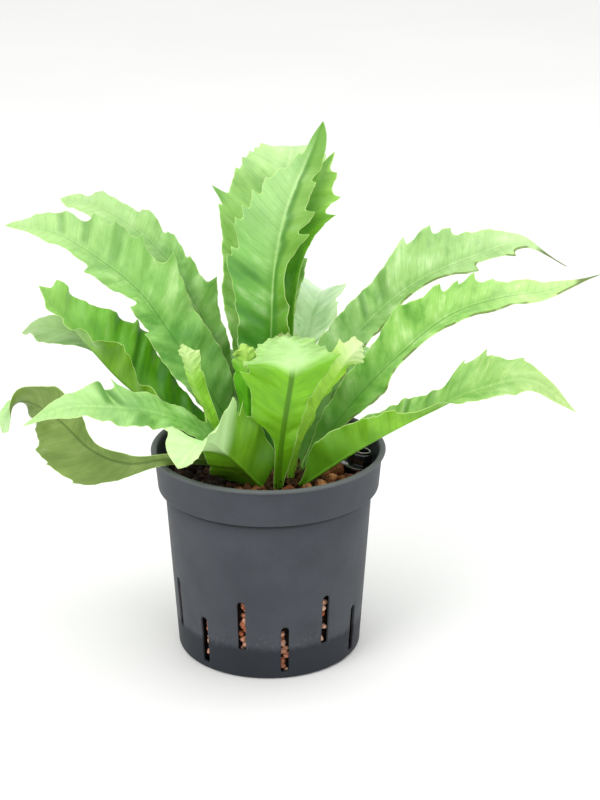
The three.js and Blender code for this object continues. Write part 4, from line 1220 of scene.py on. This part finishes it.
CROWN_RADIUS = 21.5
CROWN_TOP = 104.0
ROOT_BOTTOM = 38.0
ROOT_RADIUS = 15.0
SCALES_ON_CROWN = 420
HAIRS_ON_STALK = 16
HAIR_SHARES = (0.4, 0.5, 0.7)
SCALE_LENGTH = (3.5, 7.0)
SCALE_HALF = (0.7, 1.3)
SCALE_CURL = (-0.3, 0.5)
SCALE_LEAN = (0.5, 1.35)
# A scale's half width along its length, as (share of the length, share of the width)
SCALE_STATIONS = ((0.0, 0.7), (0.3, 1.0), (0.6, 0.8), (0.85, 0.4), (1.0, 0.04))


def scale_shape(draws):
    """One papery scale: points and faces of a thin pointed flake, standing along +Z."""
    length = draws.uniform(*SCALE_LENGTH)
    half = draws.uniform(*SCALE_HALF)
    curl = draws.uniform(*SCALE_CURL)
    points, faces = [], []
    for f, share in SCALE_STATIONS:
        z, wide, bend = f * length, half * share, curl * f * f * length * 0.5
        points += [(-wide, bend, z), (0, bend + 0.25 * share, z), (wide, bend, z), (0, bend - 0.12, z)]
    last = len(points) - 4
    for row in range(0, last, 4):
        for k in range(4):
            a, b = row + k, row + (k + 1) % 4
            faces.append((a, a + 4, b + 4, b))
    faces += [(0, 1, 2, 3), (last + 3, last + 2, last + 1, last)]
    return np.array(points), faces


def crown_scales(draws):
    """Scales that lean outwards all over the crown's top, as (points, faces)."""
    for _ in range(SCALES_ON_CROWN):
        angle = draws.uniform(0, 2 * math.pi)
        reach = CROWN_RADIUS * math.sqrt(draws.random()) * 0.99
        z = CROWN_TOP - 2.4 * (reach / CROWN_RADIUS) ** 3 - 1.2
        root = (CROWN_X + reach * math.cos(angle), CROWN_Y + reach * math.sin(angle), z)
        flake, faces = scale_shape(draws)
        flake = spin(flake, 0, -draws.uniform(*SCALE_LEAN))
        yield spin(flake, 2, angle - math.pi / 2 + draws.uniform(-0.7, 0.7)) + root, faces


def stalk_hairs(frond, draws):
    """Narrow brown scales round the foot of one stalk, as (points, faces)."""
    spine = Spine(frond.spine)
    for _ in range(HAIRS_ON_STALK):
        distance = draws.uniform(3.5, 9.0)
        centre, across, face = (v[0] for v in blade_frame(frond, spine, np.array([distance])))
        side, lean = draws.choice((-1, 1)), draws.uniform(0.15, 0.6)
        along = np.cross(face, across) * math.cos(lean) + face * side * math.sin(lean)
        root = centre + across * draws.uniform(-STALK_HALF, STALK_HALF) * 0.9 + face * side * 0.2
        flake, faces = scale_shape(draws)
        axes = np.stack([across, np.cross(along, across), along])
        yield root + flake * HAIR_SHARES @ axes, faces


def crown_body():
    """The short rough rhizome with its root ball below, as (points, faces)."""
    profile = [(0, ROOT_BOTTOM), (ROOT_RADIUS * 0.6, ROOT_BOTTOM), (ROOT_RADIUS, ROOT_BOTTOM + 14)]
    profile += [(ROOT_RADIUS, 74), (CROWN_RADIUS, 88), (CROWN_RADIUS, 98), (CROWN_RADIUS - 1.5, 101)]
    profile += [(CROWN_RADIUS - 5, 102.4), (CROWN_RADIUS - 9, 103.2), (8, CROWN_TOP), (0, CROWN_TOP + 0.3)]
    points, faces = turned_shape(profile, 72)
    points += (CROWN_X, CROWN_Y, 0)
    x, y, z = points.T
    rough = 0.5 * np.sin(x * 1.3) * np.sin(y * 1.7 + 1) + 0.35 * np.sin(x * 3.1 + y * 2.3)
    points[:, 2] += rough * (z > 90)
    return points, faces


def crown_object():
    """The rhizome that the fronds stand in, with its scales and the hairs of the stalks."""
    draws = random.Random(3)
    parts, tones = [crown_body()], [0.35]
    for flakes in (crown_scales(draws), *(stalk_hairs(frond, draws) for frond in FRONDS)):
        for flake in flakes:
            parts.append(flake)
            tones.append(draws.random())
    return add_object("rhizome_crown", joined_mesh("rhizome_crown", parts, tone=tones))


def crown_material():
    paint = Shader("rhizome scales")
    tone, place = paint.value("tone"), paint.place()
    colour = paint.mix(tone, linear("2c1d10"), linear("6d4a28"))
    fleck = paint.ramp(paint.noise(place, 500.0, 4.0), 0.5, 0.75, 0.0, 0.5)
    colour = paint.mix(fleck, colour, linear("9a7a4a"))
    return paint.finish(
        Base_Color=colour,
        Roughness=0.85,
        Specular_IOR_Level=0.25,
        Normal=paint.bump(paint.noise(place, 1200.0, 4.0, 0.7), 0.0002, 0.8),
    )


# Assembly

set_piece(pot_object(), pot_material(), "pot", "pot_plastic")
set_piece(pebbles_object(), pebble_material(), "pebble_bed", "clay_pebbles")
set_piece(core_object(), core_material(), "pebble_bed", "clay_pebbles")
set_piece(sleeve_object(), sleeve_material("sleeve plastic", "131416"), "gauge_sleeve", "sleeve_plastic")
# Painted highlight: the lip's pale grey
set_piece(sleeve_lip_object(), sleeve_material("sleeve lip", "8e9088"), "gauge_sleeve", "sleeve_plastic")
set_piece(crown_object(), crown_material(), "rhizome", "rhizome_scales")

for index, frond in enumerate(FRONDS):
    look = LOOKS[frond.name]
    node = "frond_" + frond.name
    blade = add_object(node + "_blade", frond_mesh(frond, look, index))
    set_piece(blade, leaf_material(node.replace("_", " "), look), node, look.slot)


# Floor, light and camera, in metres

FLOOR_HALF = 25.0
LIGHT_AIM = Vector((0.0, 0.0, 0.12))
WHITE = (1.0, 1.0, 1.0)


def floor_object():
    corners = [(x * FLOOR_HALF, y * FLOOR_HALF, 0) for x, y in ((-1, -1), (1, -1), (1, 1), (-1, 1))]
    mesh = bpy.data.meshes.new("floor")
    mesh.from_pydata(corners, [], [(0, 1, 2, 3)])
    paint = Shader("floor")
    colour = paint.mix(paint.noise(paint.place(), 3.0, 2.0), linear("f1f1f0"), linear("f7f7f6"))
    mesh.materials.append(paint.finish(Base_Color=colour, Roughness=0.6, Specular_IOR_Level=0.3))
    return add_object("floor", mesh)


def soft_light(name, place, size, power, colour):
    """A square lamp that looks at the middle of the plant."""
    data = bpy.data.lights.new(name, "AREA")
    data.shape = "SQUARE"
    data.size = size
    data.energy = power
    data.color = colour
    lamp = add_object(name, data)
    lamp.location = place
    lamp.rotation_euler = (LIGHT_AIM - Vector(place)).to_track_quat("-Z", "Y").to_euler()


def room_light(strength):
    world = bpy.data.worlds.new("room")
    world.use_nodes = True
    background = world.node_tree.nodes["Background"]
    background.inputs["Color"].default_value = (*WHITE, 1.0)
    background.inputs["Strength"].default_value = strength
    bpy.context.scene.world = world


def add_camera(place, tilt, swing, lens):
    """A camera at a place, tilted down and swung to the left by angles in degrees."""
    data = bpy.data.cameras.new("camera")
    data.lens = lens
    data.sensor_width = 36.0
    data.clip_start = 0.01
    camera = add_object("camera", data)
    camera.location = place
    camera.rotation_euler = (math.radians(90 - tilt), 0.0, math.radians(swing))
    bpy.context.scene.camera = camera


floor_object()
soft_light("key", (-0.9, -0.9, 1.5), 0.9, 12.0, (1.0, 0.99, 0.97))
soft_light("top", (0.2, 0.3, 1.7), 1.0, 7.0, WHITE)
soft_light("side", (1.4, -0.5, 0.8), 1.0, 3.0, (0.97, 0.98, 1.0))
room_light(0.95)
add_camera((0.0, -0.985, 0.518), 20.75, -1.02, 86.4)
bpy.context.scene.view_settings.view_transform = "Standard"
